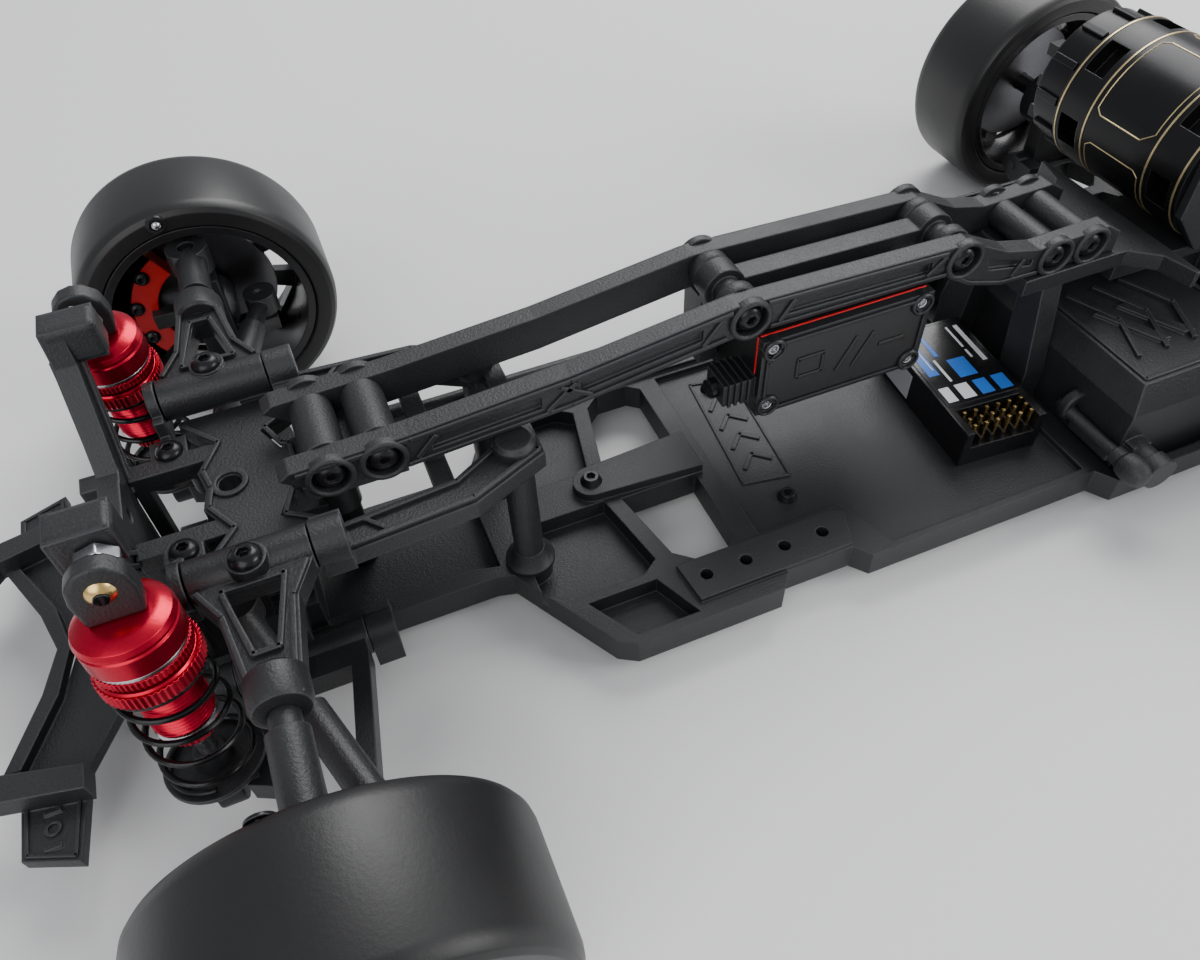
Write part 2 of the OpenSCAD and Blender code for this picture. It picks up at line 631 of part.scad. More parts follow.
// ---------- fasteners ----------
// A button-head screw on the rail, with a hex socket.
module rail_screw(s) {
    difference() {
        union() {
            along_y(s[0], 3, rail_out - 1.55, s[1], 1.5);
            translate([s[0], rail_out - 1.58, s[1]]) rotate([-90, 0, 0]) cylinder(h = 1.9, r1 = 2.9,
                r2 = 1.9);
        }
        hex_y(s[0], rail_out - 0.7, rail_out + 2, s[1], 1.15);
    }
}
module button_screw(p, r = 2.6, depth = 4)
    translate(p) difference() {
        union() {
            cylinder(h = 1.7, r1 = r, r2 = r * 0.66);
            translate([0, 0, -depth]) cylinder(h = depth + 0.1, r = 1.4);
        }
        translate([0, 0, 0.6]) cylinder(h = 3, r = 1.1, $fn = 6);
    }
module screws_and_pins() {
    color([0.5, 0.5, 0.52]) {
        at_front() both() {
            for (s = rail_screws) rail_screw(s);
            // Hinge pins of the front arms.
            along_x(-19, 19, front_lower_pin[0], front_lower_pin[1], pin_r);
            along_x(-16.2, 13.4, front_upper_pin[0], front_upper_pin[1], pin_r);
            // Damper studs with their hexagon.
            rotate_stud(front_damper_x, front_damper_top);
            button_screw([26, 7, rim_z + bumper_t]);
            button_screw([-112, 20, rim_z - 1.6], 2.4, 2);
        }
        at_front() {
            // Post that the steering crank turns on.
            along_z(crank_pivot[0], crank_pivot[1], floor_z + 0.01, brace_z0 - 0.01, 2);
            along_z(crank_pivot[0], crank_pivot[1], floor_z + 0.01, crank_z - gap, 3.4);
            button_screw([-71, 0, rim_z + 2.4], 2.6, 4);
        }
        at_rear() both() {
            along_x(-25, 16, rear_lower_pin[0], rear_lower_pin[1], pin_r);
            rotate_stud(rear_damper_x, rear_damper_top);
            // Ball screws for the inner ends of the upper links.
            along_z(-9, rear_upper_in[0], 38.6, rear_upper_in[1], 1.39);
        }
        at_rear() {
            both() translate([-9, rear_upper_in[0], rear_upper_in[1]]) sphere(r = 2.6, $fn = 24);
            for (a = [50, 230]) along_y(motor_c[0] + 12.5 * cos(a),
                7, 15.2, motor_c[1] + 12.5 * sin(a), 1.25);
        }
    }
}
module rotate_stud(x, top) {
    along_y(x, top[0] - 8, top[0] + 3, top[1], 1.2);
    hex_y(x, top[0] - 5, top[0] - 3.4, top[1], 2.9);
    translate([x, top[0], top[1]]) sphere(r = 2.9, $fn = 24);
}

// ---------- front suspension, left side ----------
module front_lower_arm() {
    y0 = front_lower_pin[0];
    z0 = front_lower_pin[1];
    y1 = front_lower_ball[0];
    color([0.19, 0.195, 0.205])
        difference() {
            union() {
                along_x(-13.2, 13.2, y0, z0, 4);
                plate([[-12.6, y0], [-12.6, y0 + 6], [-5, y1 - 6], [-4, y1], [4, y1], [5, y1 - 6],
                    [10, 47], [20, 42], [20, 36], [12.6, 33], [12.6, y0]], z0 - 2.6, z0 + 3);
                along_z(0, y1, z0 - 3, z0 + 4, 5);
                // Pad that the damper's lower eye screws to.
                box([12.2, front_damper_low[0] - 3.4, z0 - 2.6], [14.2, front_damper_low[0] + 3.4, z0 + 5]);
            }
            along_x(-14, 14, y0, z0, pin_r + run);
            plate([[-8.6, y0 + 8], [-3.4, 58], [3.4, 58], [7, 46], [8.6, 30],
                [8.6, y0 + 8]], z0 - 4, z0 + 4);
            // Room for the damper's eye beside the pad.
            box([14.3, front_damper_low[0] - 6, z0 - 6], [24, front_damper_low[0] + 6, z0 + 8]);
            translate([0, y1, front_lower_ball[1]]) sphere(r = 3 + run, $fn = 32);
            translate([0, y1, front_lower_ball[1]]) cylinder(h = 6, r = 2.9);
        }
    color([0.5, 0.5, 0.52])
        along_x(12, front_damper_x + 3, front_damper_low[0], front_damper_low[1], 1.3);
}
module front_kingpin_ball() {
    c = [0, front_lower_ball[0], front_lower_ball[1]];
    color([0.6, 0.6, 0.62]) {
        translate(c) sphere(r = 3, $fn = 32);
        along_z(c[0], c[1], c[2], c[2] + 9, 1.9);
    }
}
module front_knuckle() {
    y = front_lower_ball[0];
    zl = front_lower_ball[1];
    zu = front_upper_ball[1];
    color([0.14, 0.14, 0.15])
        difference() {
            union() {
                box([-4, y - 3.6, zl + 5.4], [4.4, y + 3.6, zu - 5.4]);
                along_y(0, y, y + 9.4, axle_z, 6.4);
                // Steering arm.
                plate([[-3, y - 3.6], [-3, y + 3.4], [steer_ball[0] - 2.6, steer_ball[1] + 2.6],
                    [steer_ball[0] - 2.6, steer_ball[1] - 2.6]],
                    steer_ball[2] - 8, steer_ball[2] - 4.4);
                // Upper ball screw.
                along_z(0, y, zu - 7, zu, 1.5);
                translate([0, y, zu]) sphere(r = 2.9, $fn = 32);
                // Caliper bracket.
                box([3, y + 2.4, axle_z - 2], [14, y + 6, axle_z + 2]);
            }
            along_z(0, y, zl, zl + 9.4, 1.9 + run);
        }
    // Fixed stub axle that the wheel turns on.
    color([0.6, 0.6, 0.62]) along_y(0, y + 9.3, half_track + 14.4, axle_z, 2.5);
    // Brake caliper astride the disc.
    color([0.62, 0.04, 0.06])
        difference() {
            intersection() {
                along_y(0, y + 5.9, y + 16, axle_z, 20.4);
                side_plate([[0, axle_z], [24, axle_z + 17], [24, axle_z - 17]], y + 5.9, y + 16);
            }
            along_y(0, y + 5, y + 17, axle_z, 12.4);
            along_y(0, y + 9.8, y + 13.6, axle_z, 18);
        }
}
module front_upper_arm() {
    y0 = front_upper_pin[0];
    z0 = front_upper_pin[1];
    y1 = front_upper_ball[0];
    z1 = front_upper_ball[1];
    color([0.26, 0.27, 0.29])
        difference() {
            union() {
                along_x(-10.4, 10.4, y0, z0, 4.2);
                plate([[-10.2, y0], [-10.2, y0 + 4], [-6.6, 35], [-4.2, 52], [4.2, 52], [6.6, 35],
                    [10.2, y0 + 4], [10.2, y0]],
                    z0 - 2.4, z0 + 1.8);
                box([-4.2, 48, z0 - 3], [4.2, 54, z0 + 2.6]);
                rod([0, 52, z0 - 0.6], [0, y1 - 3, z1 + 0.1], 2.6);
                rod([0, 58, z0 - 0.8], [0, y1 - 3, z1 + 0.1], 3.5);
                along_z(0, y1, z1 - 3.2, z1 + 3.2, 4.8);
                along_z(0, y0 + 2, z0, z0 + 4.6, 3.4);
            }
            along_x(-12, 12, y0, z0, pin_r + run);
            plate([[-5, y0 + 5.4], [-1.6, 44], [1.6, 44], [5, y0 + 5.4]], z0 - 4, z0 + 3);
            translate([0, y1, z1]) sphere(r = 2.9 + run, $fn = 32);
            along_z(0, y1, z1 - 4, z1, 2.7);
            along_z(0, y1, z1, z1 + 4, 2.0);
        }
}
module front_tie_rod() {
    d = steer_ball - rack_ball;
    u = d / norm(d);
    color([0.17, 0.175, 0.185])
        difference() {
            union() {
                rod(rack_ball + 3 * u, steer_ball - 3 * u, 1.6);
                rod(rack_ball + 3 * u, rack_ball + 20 * u, 2.8);
                rod(rack_ball + 27 * u, steer_ball - 12 * u, 3.1);
                rod(rack_ball + 27 * u, steer_ball - 3 * u, 2.3);
                translate([rack_ball[0], rack_ball[1], rack_ball[2] - 2.6]) cylinder(h = 5.4, r = 4.4);
                translate([steer_ball[0], steer_ball[1], steer_ball[2] - 2.6]) cylinder(h = 5.2, r = 4);
            }
            translate(rack_ball) sphere(r = 2.9 + run, $fn = 32);
            translate([rack_ball[0], rack_ball[1], rack_ball[2] - 4]) cylinder(h = 4, r = 3.3);
            translate(steer_ball) sphere(r = 2.7 + run, $fn = 32);
            translate([steer_ball[0], steer_ball[1], steer_ball[2] - 4]) cylinder(h = 4, r = 2.6);
        }
    // Outer ball and the stud that stands over the steering arm.
    color([0.6, 0.6, 0.62]) {
        translate(steer_ball) sphere(r = 2.7, $fn = 32);
        along_z(steer_ball[0], steer_ball[1], steer_ball[2] - 4.1, steer_ball[2], 1.4);
    }
}

// ---------- dampers: drawn along the line from the top stud to the lower eye ----------
// The damper's own frame has its origin at the top stud and runs down -z.
module damper_frame(x, top, low) {
    a = atan2(low[0] - top[0], top[1] - low[1]);
    translate([x, top[0], top[1]]) rotate([a, 0, 0]) children();
}
function damper_len(top, low) = norm(top - low);
module damper_body(len) {
    color([0.66, 0.04, 0.10])
        difference() {
            union() {
                // Cap, threaded body and spring collar.
                translate([0, 0, -14.2]) cylinder(h = 8.2, r = 8);
                translate([0, 0, -15.6]) cylinder(h = 1.5, r = 7);
                translate([0, 0, -33]) cylinder(h = 18, r = 5.4);
                translate([0, 0, -19.6]) cylinder(h = 3.4, r = 8.5);
                translate([0, 0, -37]) cylinder(h = 4.2, r = 4.4);
            }
            translate([0, 0, -38]) cylinder(h = 24, r = 1.6 + run);
        }
    // Plastic eye on the cap.
    color([0.15, 0.15, 0.16])
        difference() {
            union() {
                along_y(0, -2.4, 2.4, 0, 5);
                box([-4.4, -2.4, -6.1], [4.4, 2.4, -1]);
            }
            sphere(r = 2.9 + run, $fn = 32);
            along_y(0, -3, 3, 0, 2.3);
        }
}
module damper_spring(len) {
    turns = 5;
    z0 = -20.4;
    z1 = -(len - 9.9);
    steps = turns * 14;
    pitch = (z1 - z0) / turns;
    color([0.07, 0.07, 0.08])
        spring_coil(turns, steps, z0, pitch);
}
// Closed tube swept along a helix, as rings of eight points.
module spring_coil(turns, steps, z0, pitch) {
    n = 6;
    rings = [for (i = [0:steps])
        let (a = i * 360 * turns / steps, z = z0 + pitch * i * turns / steps)
        [for (k = [0:n - 1])
            let (b = k * 360 / n, r = spring_r + wire_d / 2 * cos(b))
            [r * cos(a), r * sin(a), z + wire_d / 2 * sin(b)]]];
    pts = [for (ring = rings) for (p = ring) p];
    walls = [for (i = [0:steps - 1]) for (k = [0:n - 1])
        let (k2 = (k + 1) % n)
        each [[i * n + k, i * n + k2, (i + 1) * n + k2], [i * n + k, (i + 1) * n + k2, (i + 1) * n + k]]];
    ends = [[for (k = [n - 1:-1:0]) k], [for (k = [0:n - 1]) steps * n + k]];
    polyhedron(points = pts, faces = concat(walls, ends));
}
module damper_rod(len) {
    color([0.75, 0.75, 0.77]) translate([0, 0, -(len - 6)]) cylinder(h = len - 6 - 22, r = 1.6);
    color([0.13, 0.13, 0.14])
        difference() {
            union() {
                // Spring cup and lower eye.
                translate([0, 0, -(len - 6.9)]) cylinder(h = 2, r1 = 8, r2 = 9);
                translate([0, 0, -(len - 4)]) cylinder(h = 8, r = 3.4);
                translate([0, 0, -len]) along_x(-2.4, 2.6, 0, 0, 4.2);
            }
            translate([0, 0, -len]) along_x(-4, 4, 0, 0, 1.3 + 3 * run);
            translate([0, 0, -(len - 6)]) cylinder(h = 8, r = 1.59);
        }
}

// ---------- wheels, left side; y is measured from the wheel's middle ----------
module tyre() {
    w = tyre_w / 2;
    r = tyre_d / 2;
    s = seat_d / 2;
    color([0.045, 0.045, 0.05])
        rotate([-90, 0, 0])
            rotate_extrude($fn = 96)
                polygon([[s, -w + 1.2], [s + 1, -w], [r - 2.6, -w], [r - 0.8, -w + 0.9], [r, -w + 3],
                    [r, w - 3], [r - 0.8, w - 0.9], [r - 2.6, w], [s + 1, w], [s, w - 1.2]]);
}
// The face lies outward of the middle plane, so that the hub's parts fit inside the rim.
module rim(bore) {
    w = tyre_w / 2;
    s = seat_d / 2;
    face = 5;
    color([0.10, 0.10, 0.11])
        difference() {
            union() {
                rotate([-90, 0, 0])
                    rotate_extrude($fn = 96)
                        polygon([[s - 2, -w + 0.6], [s - 0.01, -w + 0.6], [s - 0.01, w - 0.6],
                            [s - 2, w - 0.6]]);
                along_y(0, face, face + 3, 0, s - 1);
                along_y(0, 3, w - 3, 0, 6.5);
            }
            for (i = [0:spokes - 1])
                rotate([0, i * 360 / spokes, 0])
                    side_plate([[9, -1.2], [s - 3.2, -4.4], [s - 3.2, 4.4], [9, 1.2]], face - 1, face + 4);
            along_y(0, -w, w + 8, 0, bore);
        }
    // Brake disc, a separate ring on the back of the hub.
    color([0.6, 0.6, 0.62])
        difference() {
            along_y(0, -0.6, 0.8, 0, 17.2);
            along_y(0, -2, 2, 0, bore);
            for (i = [0:7]) rotate([0, i * 45, 0]) along_y(11, -2, 2, 0, 2.2);
        }
    color([0.6, 0.6, 0.62])
        difference() {
            hex_y(0, 0.8, 3, 0, 6.4);
            along_y(0, -w, w + 8, 0, bore);
        }
}
module wheel_nut(bore) {
    color([0.35, 0.35, 0.37])
        difference() {
            union() {
                along_y(0, 10, 11.2, 0, 5);
                hex_y(0, 11.2, 14, 0, 4);
            }
            along_y(0, 9, 15, 0, bore);
        }
}
module front_rim() {
    rim(2.5 + run);
    wheel_nut(2.5 + run);
}
module rear_rim() {
    rim(2.49);
    wheel_nut(2.49);
    color([0.6, 0.6, 0.62]) along_y(0, rear_hub_pin[0] - half_track - 5.6, 15, 0, 2.5);
}
module at_wheel() translate([0, half_track, axle_z]) children();

// ---------- rear suspension, left side ----------
module rear_lower_arm() {
    y0 = rear_lower_pin[0];
    z0 = rear_lower_pin[1];
    y1 = rear_hub_pin[0];
    z1 = rear_hub_pin[1];
    color([0.19, 0.195, 0.205])
        difference() {
            union() {
                along_x(-13.2, 13.2, y0, z0, 4);
                plate([[-12.8, y0], [-12.8, 40], [-17, 42], [-17, 50], [-12.6, 54], [-12, y1 - 5],
                    [12, y1 - 5],
                    [12.8, 40], [12.8, y0]], z0 - 2.6, z0 + 2.6);
                for (x = [[-12, -7.3], [7.3, 12]]) {
                    along_x(x[0], x[1], y1, z1, 3.6);
                    box([x[0], y1 - 8, z0 - 2.6], [x[1], y1, z1 + 2.6]);
                }
            }
            along_x(-14, 14, y0, z0, pin_r + run);
            along_x(-14, 14, y1, z1, pin_r - 0.01);
            plate([[-8.4, y0 + 8], [-8.4, 34], [-2, 44], [2, 44], [8.4, 34],
                [8.4, y0 + 8]], z0 - 4, z0 + 4);
            plate([[-7.6, 54], [-5, 62], [5, 62], [7.6, 54], [2, 48], [-2, 48]], z0 - 4, z0 + 4);
        }
    color([0.5, 0.5, 0.52]) {
        along_x(-12.6, 12.6, y1, z1, pin_r);
        along_x(rear_damper_x - 3, -16, rear_damper_low[0], rear_damper_low[1], 1.3);
    }
}
module rear_hub() {
    y = rear_hub_pin[0];
    z = rear_hub_pin[1];
    color([0.14, 0.14, 0.15])
        difference() {
            union() {
                along_x(-7, 7, y, z, 3.6);
                box([-7, y - 3.4, z], [7, y + 2, rear_upper_out[1] - 4.4]);
                along_y(0, y - 3.4, y + 8, axle_z, 8);
                along_z(0, rear_upper_out[0], rear_upper_out[1] - 5, rear_upper_out[1], 1.4);
                translate([0, rear_upper_out[0], rear_upper_out[1]]) sphere(r = 2.6, $fn = 24);
            }
            along_x(-8, 8, y, z, pin_r + run);
            along_y(0, y - 5, y + 9, axle_z, 2.5 + run);
            along_y(0, y - 5, y - 1.6, axle_z, 4.6);
        }
}
module rear_upper_link() {
    a = [-9, rear_upper_in[0], rear_upper_in[1]];
    b = [0, rear_upper_out[0], rear_upper_out[1]];
    u = (b - a) / norm(b - a);
    color([0.17, 0.175, 0.185])
        difference() {
            union() {
                rod(a + 3 * u, b - 3 * u, 1.6);
                rod(a + 3 * u, a + 15 * u, 2.8);
                rod(b - 15 * u, b - 3 * u, 2.8);
                for (p = [a, b]) translate([p[0], p[1], p[2] - 2.2]) cylinder(h = 4.8, r = 4);
            }
            for (p = [a, b]) {
                translate(p) sphere(r = 2.6 + run, $fn = 32);
                translate([p[0], p[1], p[2] - 4]) cylinder(h = 4, r = 2.5);
            }
        }
}
module rear_half_shaft() {
    y = rear_hub_pin[0] - 9;
    color([0.45, 0.45, 0.47]) {
        along_y(0, 19, y, axle_z, 1.9);
        translate([0, 19.6, axle_z]) sphere(r = 2.7, $fn = 32);
        // Cup over the inner end of the wheel's axle.
        difference() {
            along_y(0, y - 6, y + 4.2, axle_z, 4.2);
            along_y(0, y - 0.1, y + 5, axle_z, 3.2);
        }
    }
}

front_len = damper_len(front_damper_top, front_damper_low);
rear_len = damper_len(rear_damper_top, rear_damper_low);
module front_damper(s)
    at_front() sided(s) damper_frame(front_damper_x, front_damper_top, front_damper_low) children();
module rear_damper(s)
    at_rear() sided(s) damper_frame(rear_damper_x, rear_damper_top, rear_damper_low) children();

chassis();
front_bumper();
front_brace();
front_shock_tower();
rail();  // rail_left
mirror([0, 1, 0]) rail();  // rail_right
servo_mount();
servo();
receiver();
battery();
battery_cover();
rear_deck();
gearbox_case();
motor();
screws_and_pins();
servo_horn();
servo_link();
steering_crank();
steering_rack();
pinion();
layshaft_gears();
spool();
at_front() front_lower_arm();  // front_left_lower_arm
at_front() front_upper_arm();  // front_left_upper_arm
at_front() front_kingpin_ball();  // front_left_kingpin_ball
at_front() front_knuckle();  // front_left_knuckle
at_front() at_wheel() tyre();  // front_left_tyre
at_front() at_wheel() front_rim();  // front_left_rim
front_damper(1) damper_body(front_len);  // front_left_damper_body
front_damper(1) damper_spring(front_len);  // front_left_spring
front_damper(1) damper_rod(front_len);  // front_left_damper_rod
at_front() front_tie_rod();  // front_left_tie_rod
at_front() sided(-1) front_lower_arm();  // front_right_lower_arm
at_front() sided(-1) front_upper_arm();  // front_right_upper_arm
at_front() sided(-1) front_kingpin_ball();  // front_right_kingpin_ball
at_front() sided(-1) front_knuckle();  // front_right_knuckle
at_front() sided(-1) at_wheel() tyre();  // front_right_tyre
at_front() sided(-1) at_wheel() front_rim();  // front_right_rim
front_damper(-1) damper_body(front_len);  // front_right_damper_body
front_damper(-1) damper_spring(front_len);  // front_right_spring
front_damper(-1) damper_rod(front_len);  // front_right_damper_rod
at_front() sided(-1) front_tie_rod();  // front_right_tie_rod
at_rear() rear_lower_arm();  // rear_left_lower_arm
at_rear() rear_upper_link();  // rear_left_upper_link
at_rear() rear_hub();  // rear_left_hub
at_rear() at_wheel() tyre();  // rear_left_tyre
at_rear() at_wheel() rear_rim();  // rear_left_rim
at_rear() rear_half_shaft();  // rear_left_half_shaft
rear_damper(1) damper_body(rear_len);  // rear_left_damper_body
rear_damper(1) damper_spring(rear_len);  // rear_left_spring
rear_damper(1) damper_rod(rear_len);  // rear_left_damper_rod
at_rear() sided(-1) rear_lower_arm();  // rear_right_lower_arm
at_rear() sided(-1) rear_upper_link();  // rear_right_upper_link
at_rear() sided(-1) rear_hub();  // rear_right_hub
at_rear() sided(-1) at_wheel() tyre();  // rear_right_tyre
at_rear() sided(-1) at_wheel() rear_rim();  // rear_right_rim
at_rear() sided(-1) rear_half_shaft();  // rear_right_half_shaft
rear_damper(-1) damper_body(rear_len);  // rear_right_damper_body
rear_damper(-1) damper_spring(rear_len);  // rear_right_spring
rear_damper(-1) damper_rod(rear_len);  // rear_right_damper_rod
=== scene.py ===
import json
import math

import bmesh
import bpy
from mathutils import Matrix, Vector


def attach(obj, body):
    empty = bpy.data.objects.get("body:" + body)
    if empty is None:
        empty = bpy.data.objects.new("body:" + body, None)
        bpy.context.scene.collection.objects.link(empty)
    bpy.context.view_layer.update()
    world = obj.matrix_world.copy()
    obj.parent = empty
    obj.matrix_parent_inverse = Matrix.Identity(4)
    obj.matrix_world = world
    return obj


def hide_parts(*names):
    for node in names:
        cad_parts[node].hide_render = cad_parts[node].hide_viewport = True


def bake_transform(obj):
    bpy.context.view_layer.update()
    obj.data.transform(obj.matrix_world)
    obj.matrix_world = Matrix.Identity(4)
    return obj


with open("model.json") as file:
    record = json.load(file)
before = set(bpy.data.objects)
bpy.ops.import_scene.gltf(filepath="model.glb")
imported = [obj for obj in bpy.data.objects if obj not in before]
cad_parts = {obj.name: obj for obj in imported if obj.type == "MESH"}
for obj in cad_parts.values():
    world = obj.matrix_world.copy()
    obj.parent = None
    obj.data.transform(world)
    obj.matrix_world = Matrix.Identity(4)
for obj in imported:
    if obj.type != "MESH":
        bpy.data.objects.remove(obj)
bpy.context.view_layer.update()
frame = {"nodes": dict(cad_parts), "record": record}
NODES = frame["nodes"]
BODY = {n: b for b, ns in frame["record"]["behaviour"]["bodies"].items() for n in ns}
SLOT = {s["node"]: s["material_slot"] for s in frame["record"]["subparts"]}
TAU = 2 * math.pi

# Driving dimensions, the same as in the CAD. Pieces are drawn in millimetres, and made() scales them by MM.
MM = 0.001
WHEELBASE = 0.256
FRONT_X = 0.106
REAR_X = FRONT_X - WHEELBASE
AXLE_Z = 0.031
FX = FRONT_X / MM
RX = REAR_X / MM
AZ0 = AXLE_Z / MM
HALF_TRACK = 88
UPPER_BALL_Y, UPPER_BALL_Z = 76, 48
SIDES = (("left", 1), ("right", -1))
# Each damper's x, top stud (y, z), lower eye (y, z) and turns of its coil.
DAMPERS = {
    "front": (FX + 18, (35, 68), (40.5, 12), 5.25),
    "rear": (RX - 20, (33, 74), (46, 12), 7.25),
}


# ---------------------------------------------------------------- materials
def nodes_of(mat):
    mat.use_nodes = True
    tree = mat.node_tree
    return tree, tree.nodes["Principled BSDF"]


def add(tree, kind, **values):
    node = tree.nodes.new(kind)
    for key, value in values.items():
        if key in node.inputs:
            node.inputs[key].default_value = value
        else:
            setattr(node, key, value)
    return node


def ramp(tree, fac, stops):
    node = tree.nodes.new("ShaderNodeValToRGB")
    while len(node.color_ramp.elements) < len(stops):
        node.color_ramp.elements.new(0.5)
    for element, (at, colour) in zip(node.color_ramp.elements, stops):
        element.position = at
        element.color = (*colour, 1)
    tree.links.new(fac, node.inputs["Fac"])
    return node.outputs["Color"]


def shade(colour, k):
    return tuple(min(1, c * k) for c in colour[:3])


EDGE_HIGHLIGHT_GAIN = 2.4  # how much lighter the painted highlight makes a fully rounded edge
GRAIN_DEPTH = 0.0003


def grained(name, colour, rough, grain=2600, bump=0.25, edge_highlight=1.0, metal=0.0, spread=0.12, soft=0.45):
    """Plastic or metal with a fine moulded grain, a soft patchiness and a highlight painted lighter on its
    edges.

    soft is the radius in millimetres to which the shading rounds an edge.
    """
    mat = bpy.data.materials.new(name)
    tree, bsdf = nodes_of(mat)
    place = add(tree, "ShaderNodeTexCoord").outputs["Object"]
    fine = add(tree, "ShaderNodeTexNoise", Scale=grain, Detail=4.0, Roughness=0.6)
    patch = add(tree, "ShaderNodeTexNoise", Scale=45.0, Detail=3.0, Roughness=0.55)
    for tex in (fine, patch):
        tree.links.new(place, tex.inputs["Vector"])
    both = add(tree, "ShaderNodeMath", operation="ADD")
    tree.links.new(fine.outputs["Fac"], both.inputs[0])
    tree.links.new(patch.outputs["Fac"], both.inputs[1])
    half = add(tree, "ShaderNodeMath", operation="MULTIPLY")
    tree.links.new(both.outputs[0], half.inputs[0])
    half.inputs[1].default_value = 0.5
    tones = [(0.3, shade(colour, 1 - spread)), (0.7, shade(colour, 1 + spread))]
    base = ramp(tree, half.outputs[0], tones)
    rounded = add(tree, "ShaderNodeBevel", samples=6, Radius=soft * MM)
    if edge_highlight:
        # Where the rounded normal leaves the true one there is an edge, and there the colour is painted
        # lighter as a highlight.
        facing = add(tree, "ShaderNodeVectorMath", operation="DOT_PRODUCT")
        tree.links.new(rounded.outputs["Normal"], facing.inputs[0])
        tree.links.new(add(tree, "ShaderNodeNewGeometry").outputs["Normal"], facing.inputs[1])
        # Painted highlight: this mask lightens the base colour on edges, standing in for light caught there.
        edge_highlight_mask = ramp(tree, facing.outputs["Value"], [(0.86, (1, 1, 1)), (0.985, (0, 0, 0))])
        mix = add(tree, "ShaderNodeMix", data_type="RGBA")
        tree.links.new(edge_highlight_mask, mix.inputs[0])
        tree.links.new(base, mix.inputs[6])
        mix.inputs[7].default_value = (*shade(colour, 1 + EDGE_HIGHLIGHT_GAIN * edge_highlight), 1)
        base = mix.outputs[2]
    tree.links.new(base, bsdf.inputs["Base Color"])
    gloss = ramp(tree, patch.outputs["Fac"], [(0.3, (rough - 0.06,) * 3), (0.7, (rough + 0.06,) * 3)])
    tree.links.new(gloss, bsdf.inputs["Roughness"])
    if bump:
        lift = add(tree, "ShaderNodeBump", Strength=bump, Distance=GRAIN_DEPTH)
        tree.links.new(fine.outputs["Fac"], lift.inputs["Height"])
        tree.links.new(rounded.outputs["Normal"], lift.inputs["Normal"])
        tree.links.new(lift.outputs["Normal"], bsdf.inputs["Normal"])
    bsdf.inputs["Metallic"].default_value = metal
    return mat


# Colour, roughness and the other settings of grained.
# One of the settings of grained sets how strongly a painted highlight lightens each finish's edges.
FINISHES = {
    "tub_plastic": ((0.013, 0.014, 0.0155), 0.47, dict(grain=1900, bump=0.5, spread=0.35)),
    "frame_plastic": ((0.017, 0.018, 0.0195), 0.44, dict(grain=1900, bump=0.5, spread=0.35, soft=0.6)),
    "arm_plastic": ((0.016, 0.0165, 0.018), 0.40, dict(grain=1900, bump=0.4, spread=0.3)),
    "servo_case": ((0.010, 0.0105, 0.0115), 0.38, dict(bump=0.15)),
    "receiver_case": ((0.006, 0.006, 0.007), 0.24, dict(bump=0.05, edge_highlight=0.3)),
    "cell_wrap": ((0.010, 0.011, 0.014), 0.32, dict(bump=0.05, edge_highlight=0)),
    "motor_can": ((0.010, 0.010, 0.011), 0.30, dict(grain=1500, bump=0.05, metal=0.55, soft=0.3)),
    "steel": ((0.55, 0.55, 0.57), 0.26, dict(grain=900, bump=0.04, edge_highlight=0.2, metal=1.0, soft=0.2)),
    "disc_steel": ((0.16, 0.16, 0.17), 0.34, dict(grain=900, bump=0.06, edge_highlight=0.4, metal=1.0, soft=0.2)),
    "black_steel": ((0.020, 0.020, 0.022), 0.30, dict(grain=1500, bump=0.05, edge_highlight=1.5, metal=0.6, soft=0.2)),
    "gear_metal": ((0.50, 0.50, 0.49), 0.30, dict(grain=900, bump=0.05, edge_highlight=0.2, metal=1.0, soft=0.1)),
    "red_anodised": ((0.50, 0.006, 0.030), 0.27, dict(grain=1800, bump=0.06, edge_highlight=0.5, metal=0.85, soft=0.2)),
    "spring_steel": ((0.008, 0.008, 0.009), 0.26, dict(bump=0.05, edge_highlight=0.3, metal=0.4, soft=0.1)),
    "tyre": ((0.0085, 0.0085, 0.009), 0.42, dict(grain=1400, bump=0.10, edge_highlight=0.2)),
    "rim_plastic": ((0.009, 0.009, 0.010), 0.30, dict(bump=0.08)),
    "red_paint": ((0.50, 0.008, 0.010), 0.34, dict(grain=1600, bump=0.05, edge_highlight=0.3, soft=0.4)),
    "gold": ((0.75, 0.52, 0.20), 0.26, dict(bump=0.03, edge_highlight=0.2, metal=1.0, soft=0.1)),
    "label_blue": ((0.02, 0.16, 0.62), 0.35, dict(bump=0.02, edge_highlight=0, soft=0.1)),
    "label_white": ((0.65, 0.67, 0.70), 0.40, dict(bump=0.02, edge_highlight=0, soft=0.1)),
    "label_grey": ((0.34, 0.35, 0.37), 0.45, dict(bump=0.03, edge_highlight=0, soft=0.1)),
    "pale_gold": ((0.62, 0.50, 0.27), 0.30, dict(bump=0.02, edge_highlight=0, metal=0.8, soft=0.1)),
}
MATS = {name: grained(name, colour, rough, **more) for name, (colour, rough, more) in FINISHES.items()}


# ---------------------------------------------------------------- mesh helpers
def new_piece(name, mesh, body, mat, replaces=()):
    piece = bpy.data.objects.new(name, mesh)
    bpy.context.scene.collection.objects.link(piece)
    mesh.materials.clear()
    mesh.materials.append(MATS[mat])
    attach(piece, body)
    if replaces:
        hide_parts(*replaces)
    return piece


def smooth(piece, angle=35):
    for poly in piece.data.polygons:
        poly.use_smooth = True
    piece.data.set_sharp_from_angle(angle=math.radians(angle))


def bevel(piece, width):
    mod = piece.modifiers.new("edge", "BEVEL")
    mod.width = width
    mod.segments = 2
    mod.limit_method = "ANGLE"
    mod.angle_limit = math.radians(32)
    mod.harden_normals = True
    mod.use_clamp_overlap = True
    mod.miter_outer = "MITER_ARC"


